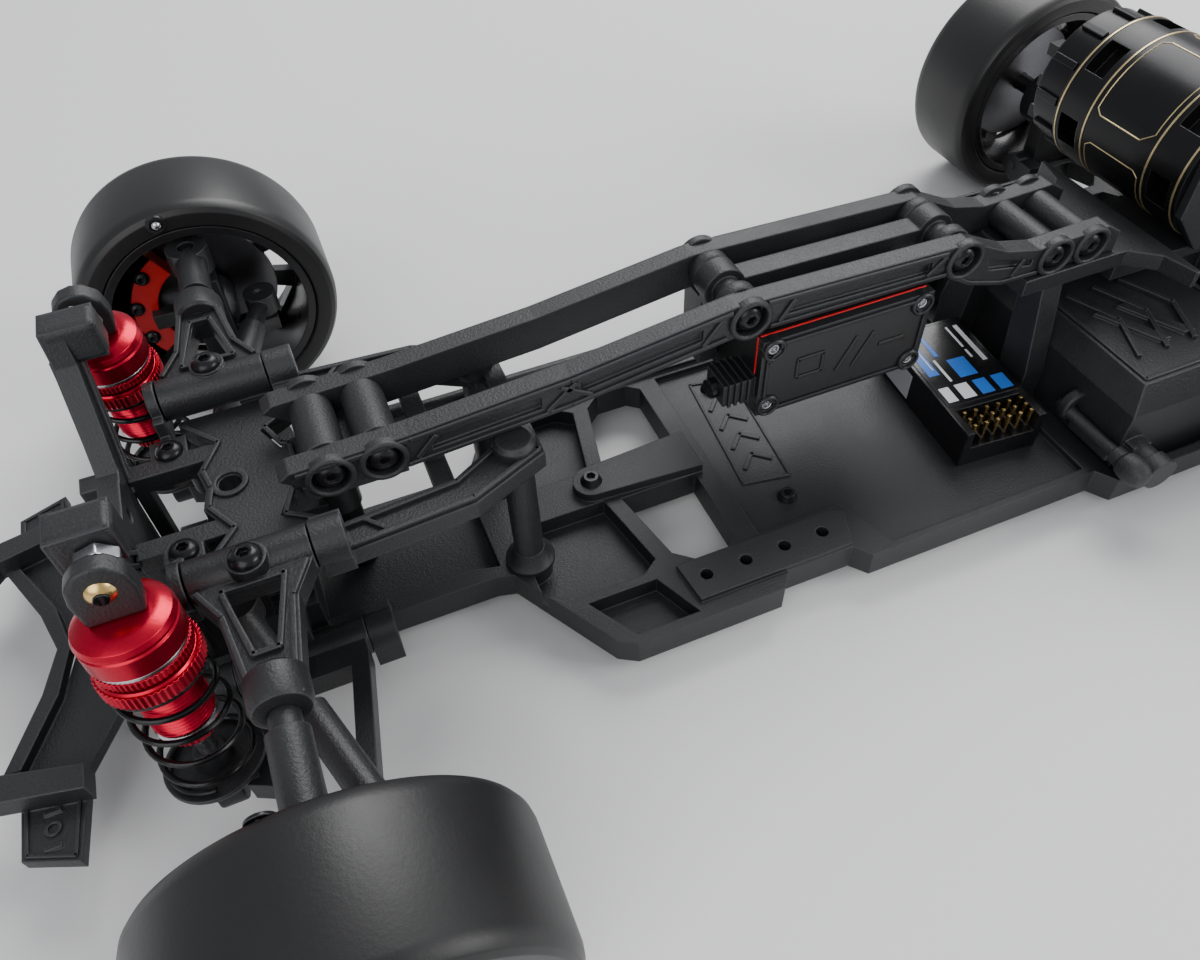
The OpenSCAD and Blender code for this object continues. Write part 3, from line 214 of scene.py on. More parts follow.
def made(name, bm, body, mat, matrix=None, slot=None, replaces=(), angle=35, edge=0.0):
    """A finished mesh from a bmesh drawn in millimetres, moved by matrix into place."""
    if matrix is not None:
        bmesh.ops.transform(bm, matrix=matrix, verts=bm.verts)
        if matrix.determinant() < 0:
            bmesh.ops.reverse_faces(bm, faces=bm.faces)
    bmesh.ops.scale(bm, vec=(MM, MM, MM), verts=bm.verts)
    mesh = bpy.data.meshes.new(name)
    bm.to_mesh(mesh)
    bm.free()
    piece = new_piece(name, mesh, body, mat, replaces)
    smooth(piece, angle)
    if edge:
        bevel(piece, edge * MM)
    return piece


def fixed(name, bm, mat, matrix=None, slot=None, edge=0.0):
    """A finished mesh that rides on the main frame."""
    return made(name, bm, "main_frame", mat, matrix, slot, edge=edge)


def lathe(profile, steps=64, bm=None):
    """Closed ring section turned about z; profile is (radius, height), given anticlockwise."""
    bm = bm or bmesh.new()
    rings = []
    for k in range(steps):
        a = TAU * k / steps
        rings.append([bm.verts.new((r * math.cos(a), r * math.sin(a), z)) for r, z in profile])
    n = len(profile)
    for k in range(steps):
        here, there = rings[k], rings[(k + 1) % steps]
        for i in range(n):
            j = (i + 1) % n
            if profile[i][0] < 1e-6 and profile[j][0] < 1e-6:
                continue
            bm.faces.new((here[i], there[i], there[j], here[j]))
    bmesh.ops.remove_doubles(bm, verts=bm.verts, dist=1e-4)
    bmesh.ops.recalc_face_normals(bm, faces=bm.faces)
    return bm


def prism(points, z0, z1, bm=None):
    """Straight prism on an outline in the xy plane."""
    bm = bm or bmesh.new()
    low = [bm.verts.new((x, y, z0)) for x, y in points]
    high = [bm.verts.new((x, y, z1)) for x, y in points]
    n = len(points)
    bm.faces.new(low[::-1])
    bm.faces.new(high)
    for i in range(n):
        j = (i + 1) % n
        bm.faces.new((low[i], low[j], high[j], high[i]))
    bmesh.ops.recalc_face_normals(bm, faces=bm.faces)
    return bm


def ring_points(r, n, turn=0.0):
    return [(r * math.cos(TAU * k / n + turn), r * math.sin(TAU * k / n + turn)) for k in range(n)]


def arc(r, angles):
    return [(r * math.cos(a), r * math.sin(a)) for a in angles]


def knurl_points(r, teeth, depth):
    """Outline of a knurled ring: teeth at radius r with gaps of the given depth."""
    points = []
    for k in range(2 * teeth):
        here = r - depth * (k % 2)
        points.append((here * math.cos(math.pi * k / teeth), here * math.sin(math.pi * k / teeth)))
    return points


def block(lo, hi, bm=None):
    bm = bm or bmesh.new()
    size = Vector(hi) - Vector(lo)
    mid = (Vector(hi) + Vector(lo)) / 2
    bmesh.ops.create_cube(bm, size=1.0, matrix=Matrix.Translation(mid) @ Matrix.Diagonal((*size, 1)))
    return bm


def ball(r):
    bm = bmesh.new()
    bmesh.ops.create_uvsphere(bm, u_segments=32, v_segments=18, radius=r)
    return bm


def tube(points, r, sides=10, closed_ends=True, bm=None):
    """Round bar along a list of points."""
    bm = bm or bmesh.new()
    pts = [Vector(p) for p in points]
    rings = []
    last = None
    for i, p in enumerate(pts):
        d = (pts[min(i + 1, len(pts) - 1)] - pts[max(i - 1, 0)]).normalized()
        side = d.orthogonal().normalized() if last is None else (last - d * last.dot(d)).normalized()
        last = side
        other = d.cross(side)
        ring = []
        for k in range(sides):
            a = TAU * k / sides
            ring.append(bm.verts.new(p + r * (math.cos(a) * side + math.sin(a) * other)))
        rings.append(ring)
    for a, b in zip(rings, rings[1:]):
        for k in range(sides):
            m = (k + 1) % sides
            bm.faces.new((a[k], a[m], b[m], b[k]))
    if closed_ends:
        bm.faces.new(rings[0][::-1])
        bm.faces.new(rings[-1])
    return bm


SUNK = 0.1


def stroke_plate(points, width, z0, z1, bm=None):
    """Raised line of constant width along points in the xy plane."""
    bm = bm or bmesh.new()
    for a, b in zip(points, points[1:]):
        a, b = Vector(a), Vector(b)
        d = (b - a).normalized() * width / 2
        n = Vector((-d.y, d.x))
        a, b = a - d * 0.2, b + d * 0.2
        prism([tuple(a - n), tuple(b - n), tuple(b + n), tuple(a + n)], z0, z1, bm)
    return bm


def raised(points, width, height, base, bm=None):
    """A line that stands height above the face at base, with its foot sunk a little below it."""
    return stroke_plate(points, width, base - SUNK, base + height, bm)


def move(x, y, z):
    return Matrix.Translation((x, y, z))


def face_y(x, y, z, side=1):
    """Turns +z to the side's outward y, with x kept along the car."""
    return move(x, y, z) @ Matrix.Rotation(-side * math.pi / 2, 4, "X")


# ---------------------------------------------------------------- CAD nodes in their materials
def refined(node, mat=None):
    """A copy of a CAD node in its detailed material, shown in its place."""
    mesh = NODES[node].data.copy()
    return new_piece(node + "_moulding", mesh, BODY[node], mat or SLOT[node], [node])


def islands(mesh):
    """The mesh as a bmesh, and its faces in groups that hang together."""
    bm = bmesh.new()
    bm.from_mesh(mesh)
    bmesh.ops.remove_doubles(bm, verts=bm.verts, dist=2e-6)
    bm.faces.index_update()
    left = set(bm.faces)
    groups = []
    while left:
        seed = left.pop()
        group, todo = {seed}, [seed]
        while todo:
            for edge in todo.pop().edges:
                for f in edge.link_faces:
                    if f in left:
                        left.discard(f)
                        group.add(f)
                        todo.append(f)
        groups.append(group)
    return bm, groups


def refined_parts(node, choose):
    """Like refined, but each loose part gets the material that choose(low, high) gives."""
    bm, groups = islands(NODES[node].data)
    kinds = {}
    for group in groups:
        co = [v.co / MM for f in group for v in f.verts]
        lo = Vector([min(c[i] for c in co) for i in range(3)])
        hi = Vector([max(c[i] for c in co) for i in range(3)])
        kinds.setdefault(choose(lo, hi), []).extend(f.index for f in group)
    bm.free()
    for mat, keep in sorted(kinds.items()):
        bm, _ = islands(NODES[node].data)
        keep = set(keep)
        bmesh.ops.delete(bm, geom=[f for f in bm.faces if f.index not in keep], context="FACES")
        mesh = bpy.data.meshes.new(f"{node}_{mat}")
        bm.to_mesh(mesh)
        bm.free()
        piece = new_piece(f"{node}_{mat}", mesh, BODY[node], mat, [node])
        smooth(piece, 25)


# ---------------------------------------------------------------- plain pieces
# Nodes that get their own treatment below.
CUSTOM = {"screws_and_pins", "battery_cover", "servo", "receiver", "motor"}
for end in ("front", "rear"):
    for side, s in SIDES:
        CUSTOM |= {f"{end}_{side}_{n}" for n in ("tyre", "spring", "damper_body", "damper_rod")}
for side, s in SIDES:
    CUSTOM |= {f"front_{side}_knuckle", f"front_{side}_tie_rod"}
for node in NODES:
    if node not in CUSTOM:
        refined(node)
for side, s in SIDES:
    refined_parts(
        f"front_{side}_knuckle",
        lambda lo, hi: "steel" if max(abs(lo.y), abs(hi.y)) > 95 and hi.z - lo.z < 8 else "arm_plastic",
    )
    refined_parts(f"front_{side}_tie_rod", lambda lo, hi: "steel" if hi.y - lo.y < 7 else "arm_plastic")
refined("screws_and_pins", "black_steel")
for node in ("battery_cover", "servo", "receiver", "motor"):
    refined(node)

# ---------------------------------------------------------------- wheels
# Half of the tyre's closed section (radius, distance from its middle plane), from tread to bead.
SHOULDER = [(31, 9.6), (30.7, 11.2), (30.0, 12.3), (28.9, 12.9), (27.2, 13), (25.6, 12.8), (25, 11.8)]
TYRE = [(r, -z) for r, z in SHOULDER[::-1]] + SHOULDER
DISC_BORE, DISC_R = 2.6, 17.25
DISC_IN, DISC_OUT = -0.66, 0.86  # the disc's faces along the axle
for end, x in (("front", FX), ("rear", RX)):
    for side, s in SIDES:
        p = f"{end}_{side}_"
        hub = move(x, s * HALF_TRACK, AZ0) @ Matrix.Rotation(-math.pi / 2, 4, "X")
        made(p + "tyre_tread", lathe(TYRE, 128), p + "wheel", "tyre", hub, replaces=[p + "tyre"], angle=25)
        faces = (DISC_IN * s, DISC_OUT * s)
        section = [(DISC_BORE, faces[0]), (DISC_R, faces[0]), (DISC_R, faces[1]), (DISC_BORE, faces[1])]
        bm = lathe(section, 96)
        made(p + "brake_disc", bm, p + "wheel", "disc_steel", hub, "steel", edge=0.15)
        if end == "front":
            # Small bright stud in a dark collar on the tyre's inner wall.
            spot = face_y(x + 3.9, s * 75.1, AZ0 + 27.8, -s)
            made(p + "wall_stud", ball(1.25), p + "wheel", "steel", spot, "steel")
            bm = lathe([(1.3, -0.2), (2.3, -0.2), (2.2, 0.35), (1.5, 0.6), (1.3, 0.3)], 32)
            made(p + "wall_collar", bm, p + "wheel", "black_steel", spot, "steel")

# ---------------------------------------------------------------- dampers
EYE_R = 5
COIL_R = 7.6
WIRE_R = 0.58
COIL_STEPS = 40  # points on each turn


def damper(p, x, s, top, low, turns):
    """Drawn down -z from the top stud, then leaned over to point at the lower eye."""
    lean = math.atan2(low[0] - top[0], top[1] - low[1]) * s
    place = move(x, s * top[0], top[1]) @ Matrix.Rotation(lean, 4, "X")
    length = math.hypot(top[0] - low[0], top[1] - low[1])
    body, rod = p + "damper_body", p + "damper_rod"
    red = "red_anodised"

    def lathed(part, section, steps, mat=red, **more):
        made(p + part, lathe(section, steps), body, mat, place, red, **more)

    cap = [(0, -13.2), (7.7, -13.2), (8, -12.8), (8, -9.2), (7.7, -8.9), (7.7, -8.5), (8, -8.2), (7.6, -7.2),
           (6.4, -6.4), (5.2, -6.05), (0, -6.05)]
    lathed("cap", cap, 96, replaces=[body], angle=30)
    lathed("cap_ring", [(5, -14.0), (7.7, -14.0), (7.7, -13.2), (5, -13.2)], 72, "steel", edge=0.15)
    made(p + "cap_knurl", prism(knurl_points(8.0, 60, 0.28), -15.5, -14.0), body, red, place)
    lathed("cap_seal", [(5, -16.3), (7.0, -16.3), (7.3, -15.9), (7.0, -15.5), (5, -15.5)], 48, "spring_steel")
    made(p + "collar", prism(knurl_points(8.6, 54, 0.32), -19.5, -16.8), body, red, place)
    lathed("collar_lip", [(5, -17.0), (7.8, -17.0), (8.1, -16.7), (7.8, -16.3), (5, -16.3)], 48)
    thread = [(5.4 - 0.45 * (k % 2), -19.4 - 0.4 * k) for k in range(34)]
    lathed("thread", [(0, -19.4), (0, -33.0)] + thread[::-1], 48, angle=20)
    made(p + "gland", prism(knurl_points(4.4, 26, 0.3), -37, -33.0), body, red, place)
    lathed("gland_flare", [(2, -34.2), (5.2, -34.2), (5.5, -33.7), (5.2, -33.0), (2, -33.0)], 40, "steel")
    # Plastic eye that sits on the stud's ball.
    half = [(4.4, -6.1), (EYE_R, -1)] + arc(EYE_R, (0.5, 1.1))
    outline = [(-4.4, -6.1)] + half + [(0, EYE_R)] + [(-across, up) for across, up in half[:0:-1]]
    upright = place @ Matrix.Rotation(math.pi / 2, 4, "X")
    made(p + "eye", prism(outline, -1.9, 1.9), body, "arm_plastic", upright, red, edge=0.7)
    # Rod, spring cup and lower eye.
    bar = tube([(0, 0, -22), (0, 0, -(length - 5.6))], 1.6, 24)
    made(p + "piston_rod", bar, rod, "steel", place, "steel", [rod])
    cup = length - 6.9
    section = [(1.6, -cup), (7.4, -cup), (8.6, -cup + 0.5), (9, -cup + 1.2), (9, -cup + 2), (8.4, -cup + 2),
               (6.2, -cup + 1.6), (1.6, -cup + 1.6)]
    made(p + "spring_cup", lathe(section, 64), rod, "arm_plastic", place, "steel")
    section = [(1.5, -length + 4), (3.4, -length + 4), (3.4, -length + 9), (2.8, -length + 12),
               (1.5, -length + 12)]
    made(p + "cup_stem", lathe(section, 40), rod, "arm_plastic", place, "steel", edge=0.3)
    bm = lathe([(1.45, -2.4), (4.2, -2.4), (4.2, 2.6), (1.45, 2.6)], 40)
    at_eye = place @ move(0, 0, -length) @ Matrix.Rotation(math.pi / 2, 4, "Y")
    made(p + "lower_eye", bm, rod, "arm_plastic", at_eye, "steel", edge=0.4)
    # Coil spring with flattened end turns.
    z0, z1 = -20.3, -(length - 9.6)
    points = []
    for k in range(int(turns * COIL_STEPS) + 1):
        t = k / COIL_STEPS
        rise = min(1, max(0, (t - 0.6) / (turns - 1.2)))
        points.append((COIL_R * math.cos(TAU * t), COIL_R * math.sin(TAU * t), z0 + (z1 - z0) * rise))
    coil = made(p + "coil", tube(points, WIRE_R), body, "spring_steel", place, replaces=[p + "spring"])
    coil.parent = None
    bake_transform(coil)


for side, s in SIDES:
    for end, (x, top, low, turns) in DAMPERS.items():
        damper(f"{end}_{side}_", x, s, top, low, turns)
    for end, (x, (y, z), _, _) in DAMPERS.items():
        name = f"{end}_{side}_"
        fixed(name + "stud_ball", ball(2.95), "gold", move(x, s * y, z), "black_steel")
        bm = prism(ring_points(3.7, 6, 0.3), 0, 2.4)
        fixed(name + "stud_hex", bm, "steel", face_y(x, s * (y - 5.5), z, s), "black_steel", edge=0.3)
        bm = prism(ring_points(1.2, 6), 0, 0.6)
        fixed(name + "stud_end", bm, "black_steel", face_y(x, s * (y + 2.4), z, s))

# ---------------------------------------------------------------- placing helpers
def on_top(s=1, x=FX):
    """Outline (x, y) seen from above, mirrored to side s; heights are above the ground."""
    return Matrix(((1, 0, 0, x), (0, s, 0, 0), (0, 0, 1, 0), (0, 0, 0, 1)))


def on_side(s=1, x=FX, z=0.0):
    """Outline (x, z) on a face that looks to side s; heights are distances from the middle plane."""
    return Matrix(((1, 0, 0, x), (0, 0, s, 0), (0, 1, 0, z), (0, 0, 0, 1)))


def closed(points):
    return list(points) + [points[0]]


def button_head(r, h, socket=0.42):
    """Domed screw head with a hexagonal socket; its seat is at z = 0."""
    steps = 48
    wall = [(r, -0.6, 0), (r, 0.25 * h, 0), (0.86 * r, 0.66 * h, 0), (0.6 * r, 0.93 * h, 0),
            (socket * r * 1.2, h, 0), (socket * r, h * 0.96, 1), (socket * r, 0.2 * h, 1)]
    bm = bmesh.new()
    rings = []
    for radius, z, hexed in wall:
        ring = []
        for k in range(steps):
            a = TAU * k / steps
            rr = radius
            if hexed:
                rr = radius * math.cos(math.pi / 6) / math.cos(a % (math.pi / 3) - math.pi / 6)
            ring.append(bm.verts.new((rr * math.cos(a), rr * math.sin(a), z)))
        rings.append(ring)
    for low, high in zip(rings, rings[1:]):
        for k in range(steps):
            m = (k + 1) % steps
            bm.faces.new((low[k], low[m], high[m], high[k]))
    bm.faces.new(rings[0][::-1])
    bm.faces.new(rings[-1])
    return bm


# ---------------------------------------------------------------- rails
# Points are (x from the front axle, z) on each rail's outer face.
RAIL_FACE, RIB_TOP = 11.4, 12.15
RAIL_SCREWS = ((-16.8, 51.9), (-26.8, 52), (-102.2, 59), (-153.1, 57.6), (-179.2, 50.6), (-189.1, 50.6))
UPPER_LIP = [(-11, 54.5), (-32, 55.1), (-64, 57.5), (-98, 62)]
UPPER_LIP_REAR = [(-106, 62), (-148, 60.7)]
LOWER_LIP = [(-31, 49), (-64, 51.3), (-97, 56)]
LOWER_LIP_REAR = [(-107, 55.9), (-149, 55.3), (-156, 50.9), (-165, 48.1), (-175, 47.8)]
STEPS = ([(-33, 50.2), (-37, 54.4)], [(-59, 51.6), (-65, 56.6)], [(-68, 52.6), (-62, 56.4)],
         [(-92, 56), (-96, 61)], [(-109, 56.6), (-112, 61)], [(-144, 56.4), (-148, 60)],
         [(-168, 49), (-170, 52.6)])
for side, s in SIDES:
    name = f"rail_{side}_"
    bm = bmesh.new()
    for line in (UPPER_LIP, UPPER_LIP_REAR, LOWER_LIP, LOWER_LIP_REAR) + STEPS:
        stroke_plate(line, 0.9, RAIL_FACE, RIB_TOP, bm)
    fixed(name + "ribs", bm, "frame_plastic", on_side(s))
    for k, (x, z) in enumerate(RAIL_SCREWS):
        ring = lathe([(3.55, 10.6), (4.7, 10.6), (4.7, 12.3), (4.3, 12.6), (3.8, 12.6), (3.55, 12.3)], 48)
        fixed(f"{name}boss_{k}", ring, "frame_plastic", on_side(s, FX + x, z))
        fixed(f"{name}screw_{k}", button_head(2.95, 1.7), "black_steel",
              on_side(s, FX + x, z) @ move(0, 0, 10.7))
for k, (x, z) in enumerate(RAIL_SCREWS[2:4]):
    # Collars at both ends of the cross tubes between the rails.
    for side, s in SIDES:
        ring = lathe([(2, 4.4), (4.3, 4.4), (4.5, 4.7), (4.5, 6.9), (4.3, 7.2), (2, 7.2)], 48)
        fixed(f"cross_tube_collar_{k}_{side}", ring, "frame_plastic", on_side(s, FX + x, z))

# ---------------------------------------------------------------- front brace
BRACE_TOP = 46.4  # height of the plate, on which the rims and screws stand
for side, s in SIDES:
    bm = bmesh.new()
    raised([(4.9, 0.4), (5.9, 5), (2, 11.7), (7.9, 18.8)], 0.9, 0.7, BRACE_TOP, bm)
    raised([(-10.9, 0.4), (-10.9, 5.6), (-9.4, 6.4), (-7, 12.2), (-15.2, 17.6)], 0.9, 0.7, BRACE_TOP, bm)
    raised([(-12, 25), (-40, 23), (-55, 16.3), (-55, 11.8)], 1.0, 1.0, BRACE_TOP, bm)
    raised([(-15.6, 19.9), (-38.2, 17.9), (-50, 11)], 1.0, 1.0, BRACE_TOP, bm)
    raised([(-20, 19.6), (-24, 24)], 0.8, 0.8, BRACE_TOP, bm)
    fixed(f"brace_{side}_rims", bm, "frame_plastic", on_top(s))
    fixed(f"brace_{side}_screw", button_head(2.7, 1.5), "black_steel",
          on_top(s) @ move(11.4, 13.4, BRACE_TOP))
    post = lathe([(3.1, 44), (4.3, 44.6), (4.5, 46.2), (4.2, 48.2), (3.4, 49), (0, 49), (0, 44)], 48)
    fixed(f"brace_{side}_post_cap", post, "frame_plastic", on_top(s) @ move(-51, 13.5, 0))
    foot = lathe([(3.1, 10.9), (5.4, 10.9), (5.4, 12), (4.2, 13), (3.3, 15.4), (3.1, 15.4)], 48)
    fixed(f"brace_{side}_post_foot", foot, "tub_plastic", on_top(s) @ move(-51, 13.5, 0))
fixed("brace_hub_ring", lathe([(2.3, 46.2), (3.6, 46.2), (3.5, 47), (2.5, 47)], 40), "frame_plastic",
      on_top() @ move(1.5, 0, 0))

# ---------------------------------------------------------------- shock tower arms
for side, s in SIDES:
    bm = block((14.0, 22.1, 65.0), (24.3, 29.2, 73.4))
    fixed(f"tower_{side}_pad", bm, "frame_plastic", on_top(s), edge=1.5)
    bm = bmesh.new()
    for inset in (1.6, -1.6):
        line = [(9.5 + inset, 44), (14.8 + inset, 50), (23.2 + inset * 0.6, 63), (24.6 + inset * 0.6, 66)]
        stroke_plate(line, 0.9, 23.8, 24.8, bm)
        stroke_plate(line, 0.9, 19.2, 20.2, bm)
    turn = Matrix(((0, 0, 1, FX), (s, 0, 0, 0), (0, 1, 0, 0), (0, 0, 0, 1)))
    fixed(f"tower_{side}_rims", bm, "frame_plastic", turn)

# ---------------------------------------------------------------- front suspension arms
CALIPER_R, BRIDGE_R, CALIPER_BORE, BOLT_R = 22.3, 18.4, 12.4, 17.4
INNER_HALF, OUTER_HALF = (81.2, 86.2), (89.8, 92.3)  # where the caliper's halves stand along the axle
for side, s in SIDES:
    p = f"front_{side}_"
    arm = p + "upper_arm"
    bm = bmesh.new()
    for k in (1, -1):
        stroke_plate([(9.2 * k, 29), (5.7 * k, 35.4), (3.5 * k, 50)], 0.9, 51.6, 52.7, bm)
    stroke_plate(closed([(-5.3, 30.2), (-2.1, 44.4), (2.1, 44.4), (5.3, 30.2)]), 0.9, 51.6, 52.7, bm)
    made(arm + "_rims", bm, arm, "arm_plastic", on_top(s))
    made(arm + "_screw", button_head(2.9, 1.6), arm, "black_steel", on_top(s) @ move(0, 26.5, 54.6))
    made(p + "upper_ball", ball(2.8), p + "knuckle", "steel", move(FX, s * UPPER_BALL_Y, UPPER_BALL_Z),
         "arm_plastic")
    made(p + "ball_socket", prism(ring_points(1.1, 6), 50.7, 51.05), p + "knuckle", "black_steel",
         on_top(s) @ move(0, UPPER_BALL_Y, 0), "arm_plastic")
    barrel = lathe([(2.5, 47.6), (4.5, 47.6), (5.1, 48.3), (5.1, 53.2), (4.6, 54.4), (3.4, 54.8),
                    (2.5, 54.8)], 48)
    made(arm + "_barrel", barrel, arm, "arm_plastic", on_side(s, FX, 49.8))
    # Brake caliper, open over the disc.
    sweep = [math.radians(a) for a in range(-36, 61, 6)]
    wide = arc(CALIPER_R, sweep) + arc(CALIPER_BORE, sweep[::-1])
    over = arc(CALIPER_R, sweep) + arc(BRIDGE_R, sweep[::-1])
    bm = prism(wide, *INNER_HALF)
    prism(over, INNER_HALF[0], OUTER_HALF[1], bm)
    prism(wide, *OUTER_HALF, bm)
    made(p + "caliper", bm, p + "knuckle", "red_paint", on_side(s, FX, AZ0), "arm_plastic")
    for k, a in enumerate((-18, 12, 42)):
        x, z = BOLT_R * math.cos(math.radians(a)), BOLT_R * math.sin(math.radians(a))
        bolt = button_head(1.9, 1.2)
        made(f"{p}caliper_bolt_{k}", bolt, p + "knuckle", "black_steel",
             face_y(FX + x, s * INNER_HALF[0], AZ0 + z, -s), "arm_plastic")

# ---------------------------------------------------------------- rear damper tower
TOWER_REAR = RX - 28.4
behind = Matrix(((0, 0, -1, TOWER_REAR), (1, 0, 0, 0), (0, 1, 0, 0), (0, 0, 0, 1)))
bm = bmesh.new()
for k in (1, -1):
    stroke_plate([(7.6 * k, 36), (26.6 * k, 39.8), (27 * k, 41), (13.6 * k, 45), (18.8 * k, 60.4),
                  (24.8 * k, 72)], 1.0, -0.1, 0.9, bm)
    stroke_plate([(20.4 * k, 75.8), (15.6 * k, 70.6), (0, 70.6)], 1.0, -0.1, 0.9, bm)
    stroke_plate([(4 * k, 42), (9 * k, 47), (13 * k, 62), (4 * k, 66.6), (4 * k, 42)], 1.0, -0.1, 0.8, bm)
fixed("rear_tower_rims", bm, "frame_plastic", behind)
for k, (y, z) in enumerate(((-6.4, 38.6), (6.4, 38.6), (-22, 75), (22, 75), (0, 54))):
    fixed(f"rear_tower_screw_{k}", button_head(2.7, 1.5), "black_steel", behind @ move(y, z, 0))
for side, s in SIDES:
    bm = block((RX - 26.3, 20.7, 70.7), (RX - 16.1, 28.2, 78.3))
    fixed(f"rear_tower_{side}_pad", bm, "frame_plastic", on_top(s, 0), edge=1.5)

# ---------------------------------------------------------------- servo
# Points are (x from the front axle, z) on the cover, which looks to the left.
COVER = 14.4
bm = stroke_plate(closed([(-140.2, 35.3), (-108.5, 35.3), (-108.5, 36.7), (-105.5, 39.4), (-105.5, 49),
                          (-108.5, 51.7), (-108.5, 53.1), (-140.2, 53.1), (-140.2, 51.7), (-143.2, 49),
                          (-143.2, 39.4), (-140.2, 36.7)]), 0.7, COVER, 15.1)
stroke_plate([(-139, 44.2), (-133, 44.2)], 1.0, COVER, 14.9, bm)
stroke_plate([(-131, 48.2), (-127, 40.2)], 1.0, COVER, 14.9, bm)
stroke_plate([(-127, 48.2), (-123, 40.2)], 1.0, COVER, 14.9, bm)
stroke_plate(closed([(-119, 42), (-113, 42), (-113, 47), (-119, 47)]), 0.7, COVER, 14.9, bm)
fixed("servo_cover_emboss", bm, "servo_case", on_side())
for k, (x, z) in enumerate(((-142, 36.5), (-106.7, 36.5), (-142, 51.9), (-106.7, 51.9))):
    bm = lathe([(1.9, 12.8), (2.7, 12.8), (2.7, 15.1), (2.4, 15.4), (2.0, 15.4), (1.9, 15.1)], 32)
    fixed(f"servo_corner_{k}", bm, "servo_case", on_side(1, FX + x, z))
    fixed(f"servo_screw_{k}", button_head(1.85, 1.0, 0.5), "steel", on_side(1, FX + x, z) @ move(0, 0, 13.7),
          "servo_case")
bm = block((FX - 144.0, 12.1, 54.1), (FX - 104.6, 12.6, 54.42))
block((FX - 104.3, 12.1, 44.6), (FX - 103.95, 12.6, 54.3), bm)
fixed("servo_red_seam", bm, "red_paint", None, "servo_case", edge=0.1)
bm = bmesh.new()
for k in range(4):
    block((3.0 + 1.5 * k, 5.1, 38.1), (3.8 + 1.5 * k, 13.6, 44.4), bm)
fixed("servo_lead_ribs", bm, "servo_case", None, edge=0.2)
bm = lathe([(0, 0), (2.3, 0), (2.3, 1.8), (2.0, 2.1), (0, 2.1)], 32)
fixed("servo_lead_stub", bm, "spring_steel", move(9.0, 9.3, 41.2) @ Matrix.Rotation(math.pi / 2, 4, "Y"),
      "servo_case")

# ---------------------------------------------------------------- receiver
box_at = move(FX - 165, 10, 9.5) @ Matrix.Rotation(math.radians(-4), 4, "Z")
TOP = 10.5  # height of the case
# Plain bars of the label: x0, y0, x1, y1.
BLUE_BARS = ((5.6, -17, 8.4, -1), (2.2, -17, 3.4, -7), (-3.4, -5, 1.4, 1.6), (-8.8, 3.4, -5.4, 8.4),
             (-3.8, 3.4, -0.4, 8.4))
WHITE_BARS = ((-8.4, -16, -7.2, -2), (-5.6, -16, -5.0, -8), (-5.6, -7, -5.0, -4), (3.9, -6, 4.6, 2),
              (1.2, 3.4, 4.6, 8.4), (6.2, 3.4, 8.8, 8.4), (6.1, -16.4, 6.5, -3))
PIN_PITCH = 3
fixed("receiver_label_base", block((-9.7, -18.2, TOP - 0.05), (9.7, 9.6, TOP + 0.12)), "receiver_case",
      box_at, edge=0.05)
bm = bmesh.new()
for x0, y0, x1, y1 in BLUE_BARS:
    block((x0, y0, TOP), (x1, y1, TOP + 0.18), bm)
fixed("receiver_label_blue", bm, "label_blue", box_at, "receiver_case")
bm = bmesh.new()
for x0, y0, x1, y1 in WHITE_BARS:
    block((x0, y0, TOP), (x1, y1, TOP + 0.2), bm)
fixed("receiver_label_white", bm, "label_white", box_at, "receiver_case")
fixed("receiver_side_label", block((10.45, -17.6, 1.2), (10.65, -4.5, 8.6)), "label_grey", box_at,
      "receiver_case", edge=0.05)
bm = bmesh.new()
for i in range(6):
    for j in range(3):
        x, y = -7.5 + PIN_PITCH * i, 12.7 + 2.2 * j
        block((x - 0.34, y - 0.34, TOP - 5.2), (x + 0.34, y + 0.34, TOP + 0.6), bm)
fixed("receiver_pins", bm, "gold", box_at, "receiver_case")
bm = bmesh.new()
for i in range(7):
    x = -9 + PIN_PITCH * i
    block((x - 0.3, 11.4, TOP - 4.9), (x + 0.3, 18.6, TOP - 2.6), bm)
fixed("receiver_slot_ribs", bm, "receiver_case", box_at)

# ---------------------------------------------------------------- motor
CAN_R = 18
axis_at = move(RX + 28, 0, 60) @ Matrix.Rotation(-math.pi / 2, 4, "X")
bm = bmesh.new()
for y in (-28.2, -19.0, 1.4, 10.6):
    lathe([(17.8, y - 0.22), (18.14, y - 0.22), (18.14, y + 0.22), (17.8, y + 0.22)], 128, bm)
fixed("motor_gold_rings", bm, "pale_gold", axis_at, "motor_can")
bm = bmesh.new()
for k in range(4):
    mid = math.radians(90 * k + 45)
    corners = []
    for a, y in ((-34, -15.8), (-30, -17.4), (30, -17.4), (34, -15.8), (34, -3.2), (26, -0.2), (-30, -0.2),
                 (-34, -1.8)):
        corners.append((mid + math.radians(a), y))
    path = []
    for (a0, y0), (a1, y1) in zip(corners, corners[1:] + corners[:1]):
        for i in range(8):
            t = i / 8
            a, y = a0 + (a1 - a0) * t, y0 + (y1 - y0) * t
            path.append((CAN_R * math.cos(a), CAN_R * math.sin(a), y))
    tube(path + [path[0]], 0.17, 6, False, bm)
fixed("motor_gold_outlines", bm, "pale_gold", axis_at, "motor_can")
bm = bmesh.new()
for k in range(3):
    a = math.radians(120 * k + 20)
    bmesh.ops.create_cone(bm, cap_ends=True, segments=24, radius1=1.9, radius2=1.6, depth=1.4,
                          matrix=move(12.6 * math.cos(a), 12.6 * math.sin(a), -38.6))
fixed("motor_bell_screws", bm, "gold", axis_at, "motor_can")
bm = lathe([(7, -38.6), (11, -38.6), (11, -38), (7, -38)], 64)
lathe([(14.6, -38.5), (16.2, -38.5), (16.2, -37.8), (14.6, -37.8)], 96, bm)
